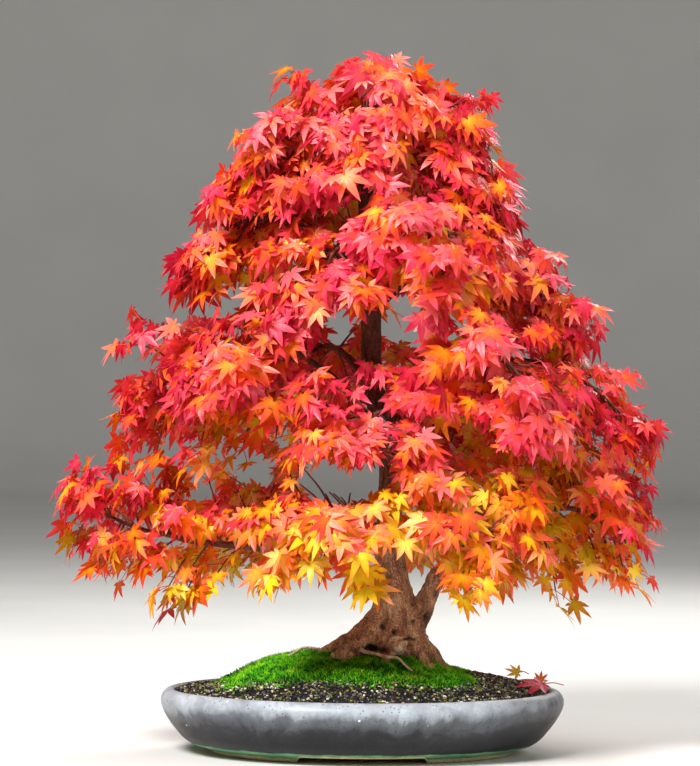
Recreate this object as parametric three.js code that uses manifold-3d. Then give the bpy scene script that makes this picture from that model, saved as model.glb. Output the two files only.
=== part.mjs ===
// A Japanese maple grown as a bonsai, in autumn leaf, in an oval glazed pot.
// Millimetres, +Z up. X runs along the pot, to the right as it is shown, and -Y faces the viewer.
// Heights are first counted from 4 mm under the pot's feet, and at the end the whole is set down so
// that the feet stand on Z = 0. The trunk, its surface roots and its main branches are one piece
// of wood. Each leafy branch end is one piece, twigs and leaves together, and butts on its branch.
import * as THREE from "three";
import { mergeVertices } from "three/addons/utils/BufferGeometryUtils.js";
import Module from "manifold-3d";

const wasm = await Module();
wasm.setup();

// ---- driving dimensions ----
const GAP = 0.3; // between pieces that rest on each other

const AROUND = 44; // facets round the pot and what fills it
const POT = {
  halfLength: 202,
  halfDepth: 154,
  drainRadius: 13,
  drainAt: 78, // from the middle, along X
  footGap: 123, // width of the front and back cut-outs in the foot ring
  footEndGap: 62, // width of the cut-outs at the two ends
  footHeight: 4, // where the feet stand, before the whole is set down
  footGapTop: 10, // top of the cut-outs
};
// Half the pot's length at each height, up the outside and down the inside: [half length, height].
const POT_OUTSIDE = [
  [151.5, 4], [158, 9], [173, 13.6], [186, 26.5], [196, 40], [202, 54], [200, 62], [192, 67.3],
];
const POT_INSIDE = [[187.5, 65.8], [190, 50], [160, 16]];
const POT_UNDERSIDE = { footInner: 143, floorLow: 11, floorHigh: 16 };

const SOIL = {
  edgeHeight: 64, // where the grit meets the pot's lip
  moundHeight: 39.5,
  dip: 11, // how much lower the mound is across its left end
  grain: 1.5, // relief of the loose grit
  gritRows: 3, // rings of facets in the bare strip between the lip and the moss
};
const MOSS = { around: 22, thickness: 6, edge: 1.6, bump: 1.6 };

// The trunk's line and girth, from under the soil to the leader's tip: [x, y, z, radius].
const TRUNK = [
  [26, 2, 62, 26], [28, 2, 84, 33], [30, 1, 102, 34], [31, 0, 118, 28.5], [32, 0, 136, 23.5],
  [31.5, 0, 155, 20.5], [28.5, 0, 178, 16.6], [26, 1, 205, 14.4], [26, 2, 235, 13],
  [27, 2, 268, 12.2], [25.5, 1, 302, 11.6], [18, 0, 335, 11.2], [10, -1, 367, 10.8],
  [6.5, -1, 400, 10.4], [6.5, 0, 432, 10], [7, 1, 462, 9], [4, 2, 500, 7.4], [-1, 2, 540, 5.8],
  [-3, 1, 578, 4.6], [-4, 0, 612, 3.6], [-1, 0, 645, 2.6], [3, 0, 668, 1.9],
];
const TRUNK_SIDES = 10;

// Surface roots: direction round the trunk, how far they show, and their thickness at both ends.
const ROOTS = [
  { azimuth: 184, reach: 84, thick: 15, thin: 4.5 },
  { azimuth: 222, reach: 78, thick: 12, thin: 4 },
  { azimuth: 262, reach: 58, thick: 11, thin: 4 },
  { azimuth: 312, reach: 68, thick: 12, thin: 4 },
  { azimuth: 356, reach: 62, thick: 14, thin: 5 },
  { azimuth: 45, reach: 66, thick: 12, thin: 4 },
  { azimuth: 96, reach: 72, thick: 12, thin: 4 },
  { azimuth: 142, reach: 76, thick: 12, thin: 4 },
];

// Tiers of branches: their girth at the trunk, how many side shoots each carries, how far every
// second one is raised and the others lowered, and the direction of each round the trunk. For each
// side: the height where branches leave the trunk, how far they reach from it, the height of their
// arch's control point, and the height of their tips.
const TIERS = [
  {
    name: "low", colour: "#f0952c", girth: 7.5, shoots: 12, shootLength: 74, stagger: -4,
    azimuths: [-6, -58, -116, 183, 128, 62],
    right: { attach: 145, reach: 242, arch: 294, tip: 226 },
    front: { attach: 210, reach: 160, arch: 276, tip: 224 },
    left: { attach: 215, reach: 308, arch: 194, tip: 244 },
    back: { attach: 206, reach: 190, arch: 268, tip: 206 },
  },
  {
    name: "middle", colour: "#f0545a", girth: 6, shoots: 10, shootLength: 68, stagger: 20,
    azimuths: [6, -46, -98, -148, 172, 118, 60],
    right: { attach: 338, reach: 272, arch: 488, tip: 346 },
    front: { attach: 312, reach: 150, arch: 402, tip: 322 },
    left: { attach: 300, reach: 252, arch: 460, tip: 380 },
    back: { attach: 345, reach: 184, arch: 440, tip: 346 },
  },
  {
    name: "upper", colour: "#ef5a3c", girth: 4.6, shoots: 10, shootLength: 62, stagger: 18,
    azimuths: [0, -54, -114, 178, 122, 58],
    right: { attach: 447, reach: 206, arch: 576, tip: 458 },
    front: { attach: 440, reach: 126, arch: 584, tip: 464 },
    left: { attach: 452, reach: 188, arch: 584, tip: 474 },
    back: { attach: 470, reach: 144, arch: 575, tip: 480 },
  },
  {
    name: "top", colour: "#ee4a44", girth: 3.2, shoots: 6, shootLength: 50, stagger: 12,
    azimuths: [-10, 58, 122, 192],
    right: { attach: 564, reach: 142, arch: 640, tip: 566 },
    front: { attach: 560, reach: 110, arch: 634, tip: 566 },
    left: { attach: 556, reach: 132, arch: 640, tip: 566 },
    back: { attach: 556, reach: 116, arch: 634, tip: 570 },
  },
  {
    name: "crown", colour: "#e8443f", girth: 2.3, shoots: 6, shootLength: 40, stagger: 6,
    azimuths: [-88, -18, 52, 124, 196],
    right: { attach: 612, reach: 116, arch: 684, tip: 621 },
    front: { attach: 606, reach: 76, arch: 685, tip: 617 },
    left: { attach: 612, reach: 90, arch: 684, tip: 621 },
    back: { attach: 616, reach: 80, arch: 684, tip: 623 },
  },
  {
    name: "apex", colour: "#e8443f", girth: 1.9, shoots: 6, shootLength: 34, stagger: 0,
    azimuths: [70],
    right: { attach: 658, reach: 22, arch: 680, tip: 688 },
    front: { attach: 658, reach: 22, arch: 680, tip: 688 },
    left: { attach: 658, reach: 22, arch: 680, tip: 688 },
    back: { attach: 658, reach: 22, arch: 680, tip: 688 },
  },
];
const STUB_SHARE = 0.4; // the share of a branch that belongs to the trunk's own piece
const SHOOT_FROM = 0.36; // where along a branch its side shoots begin
const SHOOT_STEP = 2; // of a branch's side shoots, this model grows every second one

// The leaf: five pointed lobes, from the blade's base where the stalk joins.
const LEAF = { length: 23, rib: 1.4, droop: 0.24, stalk: 15, roughness: 0.6 };
const LOBES = [
  { angle: 0, length: 1 }, { angle: 42, length: 0.93 }, { angle: 88, length: 0.7 },
];
const NOTCHES = [{ angle: 21, length: 0.37 }, { angle: 66, length: 0.33 }];
const BASE_NOTCH = { angle: 142, length: 0.2 };
const TWIG = { thick: 1.9, thin: 1.5 };
const TURNS_TRIED = 9; // other ways to hang a leaf that would touch its neighbour

const FALLEN = [
  { name: "fallen_leaf_red", at: [176, -34], heading: 205, size: 27, colour: "#c81424", lift: 0.12 },
  { name: "fallen_leaf_orange", at: [166, 6], heading: 70, size: 17, colour: "#f0561a", lift: 0.3 },
  { name: "fallen_leaf_yellow", at: [146, 44], heading: 160, size: 19, colour: "#f2c62c", lift: 0.2 },
];

const SCREEN = { side: 40, thickness: 1.2, opening: 9, bar: 4, across: 2 };

const LOOKS = {
  glaze: { color: "#8b8f93", roughness: 0.35 },
  soil: { color: "#3a342c", roughness: 0.95 },
  moss: { color: "#4c9420", roughness: 0.95 },
  bark: { color: "#82604a", roughness: 0.8 },
  screen: { color: "#22242a", roughness: 0.6 },
};

// ---- small helpers ----
const degrees = Math.PI / 180;
const vec = (x, y, z) => new THREE.Vector3(x, y, z);
const lerp = THREE.MathUtils.lerp;
const smoothstep = THREE.MathUtils.smoothstep;

/** The same draw between 0 and 1 every time, for whole numbers a, b and c. */
function draw(a, b = 0, c = 0) {
  const wave = Math.sin(a * 12.9898 + b * 78.233 + c * 37.719) * 43758.5453;
  return wave - Math.floor(wave);
}

/** The same, between -1 and 1. */
const swing = (a, b, c) => 2 * draw(a, b, c) - 1;

function solidOf(geometry) {
  const bare = geometry.clone();
  for (const name of Object.keys(bare.attributes)) {
    if (name !== "position") bare.deleteAttribute(name);
  }
  const merged = mergeVertices(bare, 1e-4);
  return new wasm.Manifold(
    new wasm.Mesh({
      numProp: 3,
      vertProperties: new Float32Array(merged.attributes.position.array),
      triVerts: new Uint32Array(merged.index.array),
    }),
  );
}

function geometryOf(solid) {
  const mesh = solid.getMesh();
  const points = new Float32Array(mesh.numVert * 3);
  for (let i = 0; i < mesh.numVert; i++) {
    points.set(mesh.vertProperties.subarray(i * mesh.numProp, i * mesh.numProp + 3), i * 3);
  }
  return new THREE.BufferGeometry()
    .setAttribute("position", new THREE.BufferAttribute(points, 3))
    .setIndex(new THREE.BufferAttribute(mesh.triVerts, 1));
}

/** The largest of a solid's separate bodies, so that a loose scrap is dropped. */
function mainBody(solid) {
  return solid.decompose().reduce((a, b) => (a.volume() >= b.volume() ? a : b));
}

/** Moves every vertex of a geometry: place(point) changes it in place. */
function reshaped(geometry, place) {
  const at = geometry.attributes.position;
  const point = vec(0, 0, 0);
  for (let i = 0; i < at.count; i++) {
    point.fromBufferAttribute(at, i);
    place(point);
    at.setXYZ(i, point.x, point.y, point.z);
  }
  return geometry;
}

/** The solid of a list of points and of faces that name three of them each. */
function solidOfFaces({ points, faces }) {
  const flat = points.flatMap((point) => point.toArray());
  return solidOf(
    new THREE.BufferGeometry()
      .setAttribute("position", new THREE.Float32BufferAttribute(flat, 3))
      .setIndex(faces),
  );
}

/**
 * Faces of the band between two loops of point numbers, which may differ in how many they hold.
 * farFirst picks the other diagonal of each four-sided patch.
 */
function band(near, far, farFirst = false) {
  const faces = [];
  let i = 0;
  let j = 0;
  while (i < near.length || j < far.length) {
    const [a, b] = [near[i % near.length], far[j % far.length]];
    const lag = j * near.length - i * far.length;
    if (i < near.length && (farFirst ? lag > 0 : lag >= 0)) {
      i += 1;
      if (near.length > 1) faces.push(a, near[i % near.length], b);
    } else {
      j += 1;
      if (far.length > 1) faces.push(a, far[j % far.length], b);
    }
  }
  return faces;
}

/** A closed solid through loops of points; a loop at either end is a single point or gets a cap. */
function lofted(loops, farFirst = false) {
  const points = loops.flat();
  let count = 0;
  const numbers = loops.map((loop) => loop.map(() => count++));
  const faces = [];
  for (let k = 0; k + 1 < numbers.length; k++) {
    faces.push(...band(numbers[k], numbers[k + 1], farFirst));
  }
  const [first, last] = [numbers[0], numbers[numbers.length - 1]];
  for (let i = 1; i + 1 < first.length; i++) faces.push(first[0], first[i + 1], first[i]);
  for (let i = 1; i + 1 < last.length; i++) faces.push(last[0], last[i], last[i + 1]);
  return solidOfFaces({ points, faces });
}

/** Across a direction: to its right, seen from behind it, and up. */
function crossAxes(ahead) {
  const right = ahead.clone().cross(vec(0, 0, 1));
  if (right.length() < 0.3) right.set(1, 0, 0);
  right.normalize();
  return { right, up: right.clone().cross(ahead).normalize() };
}

/** A round limb along a curve, its girth from radiusAt(share of the way, angle round it). */
function limb(curve, sides, steps, radiusAt) {
  return lofted(
    Array.from({ length: steps + 1 }, (_, step) => {
      const share = step / steps;
      const middle = curve.getPoint(share);
      const { right, up } = crossAxes(curve.getTangent(share));
      return Array.from({ length: sides }, (__, i) => {
        const angle = (i / sides) * 2 * Math.PI;
        const girth = radiusAt(share, angle);
        return middle.clone()
          .addScaledVector(up, Math.cos(angle) * girth)
          .addScaledVector(right, Math.sin(angle) * girth);
      });
    }),
  );
}

// ---- the pot ----
/** Presses a round form into the pot's oval: the same wall on the long and the short side. */
function toOval(point) {
  const radius = Math.hypot(point.x, point.y);
  if (radius < 1e-6) return;
  const inset = POT.halfLength - POT.halfDepth;
  const short = radius > 100 ? radius - inset : (radius * POT.halfDepth) / POT.halfLength;
  point.y *= short / radius;
}

function turned(profile) {
  const lathe = new THREE.LatheGeometry(profile.map(([r, z]) => new THREE.Vector2(r, z)), AROUND);
  return reshaped(lathe.rotateX(Math.PI / 2), toOval);
}

function block(width, depth, height, x, y, z) {
  return solidOf(new THREE.BoxGeometry(width, depth, height).translate(x, y, z));
}

function pot() {
  const { footInner, floorLow, floorHigh } = POT_UNDERSIDE;
  const profile = [
    [0, floorLow], [footInner, floorLow], [footInner - 0.5, POT.footHeight],
    ...POT_OUTSIDE, ...POT_INSIDE, [0, floorHigh],
  ];
  let body = solidOf(turned(profile));
  const cutHeight = POT.footGapTop * 2; // the lower half of it cuts nothing
  for (const side of [-1, 1]) {
    const hole = new THREE.CylinderGeometry(POT.drainRadius, POT.drainRadius, 20, 14);
    body = body.subtract(
      solidOf(hole.rotateX(Math.PI / 2).translate(side * POT.drainAt, 0, floorLow)),
    );
    body = body.subtract(block(POT.footGap, 60, cutHeight, 0, side * 100, 0));
    body = body.subtract(block(60, POT.footEndGap, cutHeight, side * 150, 0, 0));
  }
  return body;
}

// ---- the ground ----
const LIP = POT_INSIDE[0][0] - GAP;
const SOIL_HALF = { x: LIP, y: LIP - (POT.halfLength - POT.halfDepth) };

/** Height of the finished ground at x, y: a mound that falls to the lip, lower at its left end. */
function groundHeight(x, y) {
  const far = Math.min(1, (x / SOIL_HALF.x) ** 2 + (y / SOIL_HALF.y) ** 2);
  const skew = 1 - 0.35 * smoothstep(x, 40, 100);
  const dip = SOIL.dip * Math.exp(-(((x + 143) / 34) ** 2)) * Math.min(1, 6 * (1 - far));
  return SOIL.edgeHeight + SOIL.moundHeight * (1 - far) ** 0.8 * skew - dip;
}

/** How far out the moss reaches, as a share of the way from the middle to the lip. */
function mossEdge(angle) {
  const bare = Math.exp((Math.cos(angle - 0.1) - 1) * 5.5); // the grit at the right end
  const full = Math.exp((-Math.cos(angle) - 1) * 5); // the moss that reaches the left end
  return 0.79 + 0.13 * full - 0.25 * bare + 0.02 * Math.sin(angle * 5 + 1) + 0.012 * Math.sin(angle * 11);
}

/** A ring of points round the ground: share and height are functions of the angle and the place. */
function groundRing(count, shareAt, heightAt) {
  return Array.from({ length: count }, (_, i) => {
    const angle = (i / count) * 2 * Math.PI;
    const share = shareAt(angle, i);
    const x = SOIL_HALF.x * share * Math.cos(angle);
    const y = SOIL_HALF.y * share * Math.sin(angle);
    return vec(x, y, heightAt(x, y, i));
  });
}

const UNDER_MOSS = [0.62, 1]; // rings under the moss, as shares of its own reach
const bedHeight = (x, y, share) =>
  groundHeight(x, y) - lerp(MOSS.thickness, MOSS.edge, smoothstep(share, 0.75, 1)) - GAP;

function soil() {
  const inset = POT.halfLength - POT.halfDepth;
  const rows = [[vec(0, 0, POT_UNDERSIDE.floorHigh + GAP)]];
  for (const [half, z] of [...POT_INSIDE].reverse()) {
    const height = THREE.MathUtils.clamp(z, POT_UNDERSIDE.floorHigh + GAP, SOIL.edgeHeight - 1);
    const ring = groundRing(AROUND, () => (half - GAP) / LIP, () => height);
    const halfDepth = half - GAP - inset;
    rows.push(ring.map((p, i) => p.setY(halfDepth * Math.sin((i / AROUND) * 2 * Math.PI))));
  }
  rows.push(groundRing(AROUND, () => 0.998, () => SOIL.edgeHeight - 0.5));
  for (let row = 1; row <= SOIL.gritRows; row++) {
    const inward = row / (SOIL.gritRows + 1);
    rows.push(
      groundRing(
        AROUND,
        (angle, i) => lerp(1, mossEdge(angle), inward) + 0.012 * swing(i, row, 3),
        (x, y, i) => groundHeight(x, y) + SOIL.grain * swing(i, row, 7),
      ),
    );
  }
  rows.push(...mossBed(0).reverse());
  return lofted(rows);
}

/** The ground under the moss, from the middle out. */
function mossBed(lift) {
  const rings = UNDER_MOSS.map((share) =>
    groundRing(
      MOSS.around,
      (angle) => mossEdge(angle) * share,
      (x, y) => bedHeight(x, y, share) + lift,
    ),
  );
  return [[vec(0, 0, bedHeight(0, 0, 0) + lift)], ...rings];
}

function moss() {
  const rows = mossBed(GAP);
  for (const share of [0.995, 0.86, 0.66, 0.42]) {
    const bump = share > 0.9 ? 0 : MOSS.bump;
    rows.push(
      groundRing(
        MOSS.around,
        (angle) => mossEdge(angle) * share,
        (x, y, i) => groundHeight(x, y) + bump * swing(i, share * 100, 11),
      ),
    );
  }
  rows.push([vec(0, 0, groundHeight(0, 0))]);
  return lofted(rows, true); // its underside in the same facets as the soil's top
}

// ---- the wood ----
const trunkLine = new THREE.CatmullRomCurve3(TRUNK.map(([x, y, z]) => vec(x, y, z)));

/** The trunk's middle at a height, between the points of its line, or its tip above them. */
function trunkAt(height) {
  const top = Math.min(height, TRUNK[TRUNK.length - 1][2]);
  const upper = Math.max(1, TRUNK.findIndex((row) => row[2] >= top));
  const [a, b] = [TRUNK[upper - 1], TRUNK[upper]];
  const share = (top - a[2]) / (b[2] - a[2]);
  return vec(lerp(a[0], b[0], share), lerp(a[1], b[1], share), top);
}

/** What a tier says for a direction: a blend of its nearer two sides. */
function tierValue(tier, azimuth, key) {
  const along = Math.cos(azimuth * degrees);
  const across = Math.sin(azimuth * degrees);
  const ends = along > 0 ? tier.right : tier.left;
  const faces = across > 0 ? tier.back : tier.front;
  return ends[key] * along ** 2 + faces[key] * across ** 2;
}

const heading = (azimuth) => vec(Math.cos(azimuth * degrees), Math.sin(azimuth * degrees), 0);

/** Every branch: its arch from the trunk to its last twig, and its girth where it leaves. */
const branches = TIERS.flatMap((tier, level) =>
  tier.azimuths.map((azimuth, turn) => {
    const seed = level * 10 + turn;
    const value = (key) => tierValue(tier, azimuth, key);
    const lift = tier.stagger * (turn % 2 ? 1 : -1);
    const start = trunkAt(value("attach") + 5 * swing(seed, 1) + 0.4 * lift);
    const out = heading(azimuth);
    const reach = value("reach") * (1 + 0.05 * swing(seed, 2));
    const arch = start.clone().addScaledVector(out, reach * 0.56).setZ(value("arch") + lift);
    const tip = start.clone().addScaledVector(out, reach);
    tip.z = value("tip") + 8 * swing(seed, 3) + lift;
    const name = `${tier.name}_${String(turn + 1).padStart(2, "0")}`;
    return { name, tier, seed, curve: new THREE.QuadraticBezierCurve3(start, arch, tip) };
  }),
);

const branchRadius = (branch, share) => lerp(branch.tier.girth, 1.3, share ** 0.7);

/** The wood of the tree, thicker all over by grow. */
function wood(grow) {
  const girths = TRUNK.map((row) => row[3]);
  const rings = TRUNK.length - 1;
  const stem = limb(trunkLine, TRUNK_SIDES, rings, (share, angle) => {
    const place = share * (girths.length - 1);
    const lower = Math.min(Math.floor(place), girths.length - 2);
    const fluted = 1 + 0.05 * Math.sin(angle * 3 + place) * (1 - share);
    return lerp(girths[lower], girths[lower + 1], place - lower) * fluted + grow;
  });
  const parts = [stem];
  for (const root of ROOTS) {
    const out = heading(root.azimuth);
    const foot = trunkAt(100);
    const start = trunkAt(142).addScaledVector(out, 7);
    const bend = foot.clone().addScaledVector(out, root.reach * 0.52);
    bend.z = groundHeight(bend.x, bend.y) + root.thick * 0.55;
    const end = foot.clone().addScaledVector(out, root.reach);
    end.z = groundHeight(end.x, end.y) - root.thin * 1.4 - 1.5;
    const curve = new THREE.QuadraticBezierCurve3(start, bend, end);
    const girth = (share) => lerp(root.thick, root.thin, share ** 0.8) + grow;
    parts.push(limb(curve, 5, 4, girth));
  }
  for (const branch of branches) {
    const stub = new THREE.QuadraticBezierCurve3(
      branch.curve.v0,
      branch.curve.v0.clone().lerp(branch.curve.v1, STUB_SHARE),
      branch.curve.getPoint(STUB_SHARE),
    );
    const girth = (share) => branchRadius(branch, share * STUB_SHARE) + grow;
    parts.push(branch.tier.girth > 4 ? limb(stub, 4, 2, girth) : limb(stub, 3, 1, girth));
  }
  return mainBody(wasm.Manifold.union(parts));
}

// ---- the leaves ----
/** A leaf's outline round the blade's base: its right side from the middle lobe, then its left. */
function leafOutline() {
  const right = [LOBES[0], NOTCHES[0], LOBES[1], NOTCHES[1], LOBES[2], BASE_NOTCH];
  const left = right.slice(1).reverse().map(({ angle, length }) => ({ angle: -angle, length }));
  return { right, left };
}

/**
 * Adds one leaf to a form: a thin star with a rib, on a stalk that springs from three points of the
 * form, root = [top, right, left]. base is where the blade begins, ahead the way its middle lobe
 * points and face the way its upper side looks.
 */
function addLeaf(form, root, { base, ahead, face, size }, grow = 0) {
  const side = ahead.clone().cross(face).normalize();
  const number = (point) => form.points.push(point) - 1;
  const put = ({ angle, length }) => {
    const far = length * size + grow;
    return number(
      base.clone()
        .addScaledVector(ahead, Math.cos(angle * degrees) * far)
        .addScaledVector(side, Math.sin(angle * degrees) * far)
        .addScaledVector(face, -LEAF.droop * far * length ** 1.5),
    );
  };
  const outline = leafOutline();
  const top = number(base.clone().addScaledVector(face, LEAF.rib + grow));
  const under = number(base.clone().addScaledVector(face, -LEAF.rib - grow));
  const right = outline.right.map(put);
  const left = outline.left.map(put);
  const edge = [...left, ...right];
  for (let i = 0; i + 1 < edge.length; i++) {
    form.faces.push(top, edge[i + 1], edge[i], under, edge[i], edge[i + 1]);
  }
  const [rootTop, rootRight, rootLeft] = root;
  const [baseRight, baseLeft] = [right[right.length - 1], left[0]];
  form.faces.push(
    rootTop, rootRight, baseRight, rootTop, baseRight, top,
    rootRight, under, baseRight, rootRight, rootLeft, under, rootLeft, baseLeft, under,
    rootLeft, rootTop, top, rootLeft, top, baseLeft,
  );
}

/** One leaf by itself, a little too large by grow, to see what it would touch. */
function loneLeaf(place, grow) {
  const { right, up } = crossAxes(place.stalk);
  const from = place.anchor.clone().addScaledVector(place.stalk, 4);
  const corner = (across, high) =>
    from.clone().addScaledVector(right, across).addScaledVector(up, high);
  const form = { points: [corner(0, 1.5), corner(1.5, -1), corner(-1.5, -1)], faces: [0, 2, 1] };
  addLeaf(form, [0, 1, 2], place, grow);
  return solidOfFaces(form);
}

/** A three-sided twig along a curve, forked at its end into the stalks of a pair of leaves. */
function leafyTwig({ curve, steps, thick, leaves }) {
  const form = { points: [], faces: [] };
  const rings = Array.from({ length: steps + 1 }, (_, step) => {
    const share = step / steps;
    const middle = curve.getPoint(share);
    const { right, up } = crossAxes(curve.getTangent(share));
    const girth = lerp(thick, TWIG.thin, share);
    const number = (across, high) =>
      form.points.push(
        middle.clone().addScaledVector(right, across * girth).addScaledVector(up, high * girth),
      ) - 1;
    return [number(0, 1), number(0.87, -0.5), number(-0.87, -0.5)];
  });
  const last = rings[steps];
  const before = rings[steps - 1];
  for (let k = 0; k + 1 < steps; k++) form.faces.push(...band(rings[k], rings[k + 1]));
  const fork = form.points.push(
    curve.getPoint(1).addScaledVector(curve.getTangent(1), TWIG.thin * 1.5)
      .add(vec(0, 0, -TWIG.thin * 0.5)),
  ) - 1;
  form.faces.push(...band(before, [last[0], last[1], fork, last[2]]));
  form.faces.push(rings[0][0], rings[0][2], rings[0][1]);
  const roots = { right: [last[0], last[1], fork], left: [last[0], fork, last[2]] };
  for (const [hand, root] of Object.entries(roots)) {
    if (leaves[hand]) addLeaf(form, root, leaves[hand]);
    else form.faces.push(...root);
  }
  return solidOfFaces(form);
}

/** How a leaf hangs from a twig's end: it looks outwards and up, its middle lobe hanging outwards. */
function leafPlace(anchor, twigAhead, hand, seed, attempt) {
  const turn = (k) => swing(seed, k, attempt);
  const away = anchor.clone().sub(trunkAt(anchor.z)).setZ(0).normalize();
  const outward = away.multiplyScalar(0.6)
    .addScaledVector(twigAhead.clone().setZ(0), 0.5)
    .normalize();
  const across = crossAxes(twigAhead).right.multiplyScalar(hand === "right" ? 1 : -1);
  const stalk = across.clone().multiplyScalar(0.8)
    .addScaledVector(twigAhead, 0.6 + 0.3 * turn(1))
    .addScaledVector(outward, 0.25)
    .add(vec(0, 0, 0.2 + 0.35 * turn(2)))
    .normalize();
  const base = anchor.clone().addScaledVector(stalk, LEAF.stalk * (1 + 0.25 * turn(3)));
  const face = outward.clone().multiplyScalar(0.72)
    .add(vec(0, 0, 0.62))
    .addScaledVector(across, 0.25)
    .add(vec(turn(4), turn(5), turn(6)).multiplyScalar(0.28))
    .normalize();
  const ahead = stalk.clone().multiplyScalar(0.6)
    .addScaledVector(outward, 0.45)
    .add(vec(0, 0, -0.7))
    .add(vec(turn(7), turn(8), 0).multiplyScalar(0.3));
  ahead.addScaledVector(face, -ahead.dot(face)).normalize();
  return { anchor, stalk, base, face, ahead, size: LEAF.length * (1 + 0.16 * swing(seed, 20)) };
}

/** The side shoots of a branch: where each leaves it, and its line. */
function shootsOf(branch) {
  const { shoots } = branch.tier;
  return Array.from({ length: shoots }, (_, k) => {
    const share = lerp(SHOOT_FROM, 0.97, (k + 0.5) / shoots);
    const seed = branch.seed * 100 + k;
    const from = branch.curve.getPoint(share);
    const ahead = branch.curve.getTangent(share);
    const hand = [1, -1, -1, 1][k % 4];
    const across = vec(0, 0, 1).cross(ahead).normalize().multiplyScalar(hand);
    const rise = [0.5, -0.25, -0.3, 0.3, -0.85, 0.15][k % 6] + 0.15 * swing(seed, 31);
    const line = across.multiplyScalar(0.86 + 0.2 * swing(seed, 32))
      .addScaledVector(ahead, 0.55)
      .add(vec(0, 0, rise))
      .normalize();
    const swell = Math.sin(Math.PI * Math.min(1, 0.3 + 0.75 * (k / shoots)));
    const length = branch.tier.shootLength * (0.62 + 0.38 * swell) * (1 + 0.15 * swing(seed, 33));
    const to = from.clone().addScaledVector(line, length);
    const middle = from.clone().lerp(to, 0.5).add(vec(0, 0, length * 0.12));
    return { k, seed, curve: new THREE.QuadraticBezierCurve3(from, middle, to) };
  });
}

const placed = []; // every twig and leaf so far: { branch, kind, solid, box }
const touches = (a, b) =>
  a.min.every((low, i) => low <= b.max[i]) && b.min.every((low, i) => low <= a.max[i]);

/** True if a solid would meet the wood, a piece of another branch, or another leaf of its own. */
function blocked(solid, branch, treeRoom, kind) {
  const box = solid.boundingBox();
  const rival = (p) => p.branch !== branch || (kind === "leaf" && p.kind === "leaf");
  return (
    placed.some((p) => rival(p) && touches(box, p.box) && !solid.intersect(p.solid).isEmpty()) ||
    !solid.intersect(treeRoom).isEmpty()
  );
}

function keep(solid, branch, kind) {
  placed.push({ branch, kind, solid, box: solid.boundingBox() });
}

/** The first way of hanging a leaf that touches nothing, if there is one. */
function hangLeaf(branch, { curve, seed }, hand, treeRoom) {
  const anchor = curve.getPoint(1);
  for (let attempt = 0; attempt < TURNS_TRIED; attempt++) {
    const leafSeed = seed * 10 + (hand === "right" ? 1 : 2);
    const place = leafPlace(anchor, curve.getTangent(1), hand, leafSeed, attempt);
    const wide = loneLeaf(place, 0.5);
    if (!blocked(wide, branch, treeRoom, "leaf")) {
      keep(wide, branch, "leaf");
      return place;
    }
  }
  return null;
}

/** The point nearest to a place on a stem, which is drawn in straight steps. */
function nearestOn({ curve, steps }, place) {
  const corners = curve.getPoints(steps);
  const near = corners.slice(1).map((corner, i) =>
    new THREE.Line3(corners[i], corner).closestPointToPoint(place, true, vec(0, 0, 0)),
  );
  return near.reduce((a, b) => (a.distanceTo(place) <= b.distanceTo(place) ? a : b));
}

/** The leafy end of every branch: all the twigs first, so that no leaf is hung through one. */
function growFoliage(treeRoom) {
  const plans = branches.map((branch) => {
    const path = branch.curve;
    const from = STUB_SHARE + (GAP + 0.15) / path.getLength();
    const control = path.v1.clone().lerp(path.v2, from);
    const curve = new THREE.QuadraticBezierCurve3(path.getPoint(from), control, path.v2);
    const thick = branchRadius(branch, from);
    const main = { curve, seed: branch.seed * 100 + 50, steps: 3, thick };
    keep(leafyTwig({ ...main, leaves: {} }), branch, "twig");
    return { branch, stems: [main] };
  });
  for (const { branch, stems } of plans) {
    for (const { k, curve, seed } of shootsOf(branch)) {
      if (k % SHOOT_STEP !== 0) continue;
      const shift = nearestOn(stems[0], curve.v0).sub(curve.v0);
      for (const point of [curve.v0, curve.v1, curve.v2]) point.add(shift);
      const shoot = { curve, seed, steps: 1, thick: TWIG.thick };
      const bare = leafyTwig({ ...shoot, leaves: {} });
      if (blocked(bare, branch, treeRoom, "twig")) continue;
      keep(bare, branch, "twig");
      stems.push(shoot);
    }
  }
  for (const { branch, stems } of plans) {
    for (const stem of stems) {
      stem.leaves = {};
      for (const hand of ["right", "left"]) {
        stem.leaves[hand] = hangLeaf(branch, stem, hand, treeRoom);
      }
    }
  }
  return plans;
}

// ---- small pieces ----
/** A square of plastic mesh over a drainage hole, at the point of its underside's middle. */
function drainScreen(at) {
  const z = at.z + SCREEN.thickness / 2;
  const pitch = SCREEN.opening + SCREEN.bar;
  const cuts = [];
  for (let i = 0; i < SCREEN.across; i++) {
    for (let j = 0; j < SCREEN.across; j++) {
      const x = at.x + (i - (SCREEN.across - 1) / 2) * pitch;
      const y = at.y + (j - (SCREEN.across - 1) / 2) * pitch;
      cuts.push(block(SCREEN.opening, SCREEN.opening, 4 * SCREEN.thickness, x, y, z));
    }
  }
  const plate = block(SCREEN.side, SCREEN.side, SCREEN.thickness, at.x, at.y, z);
  return wasm.Manifold.difference([plate, ...cuts]);
}

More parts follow.
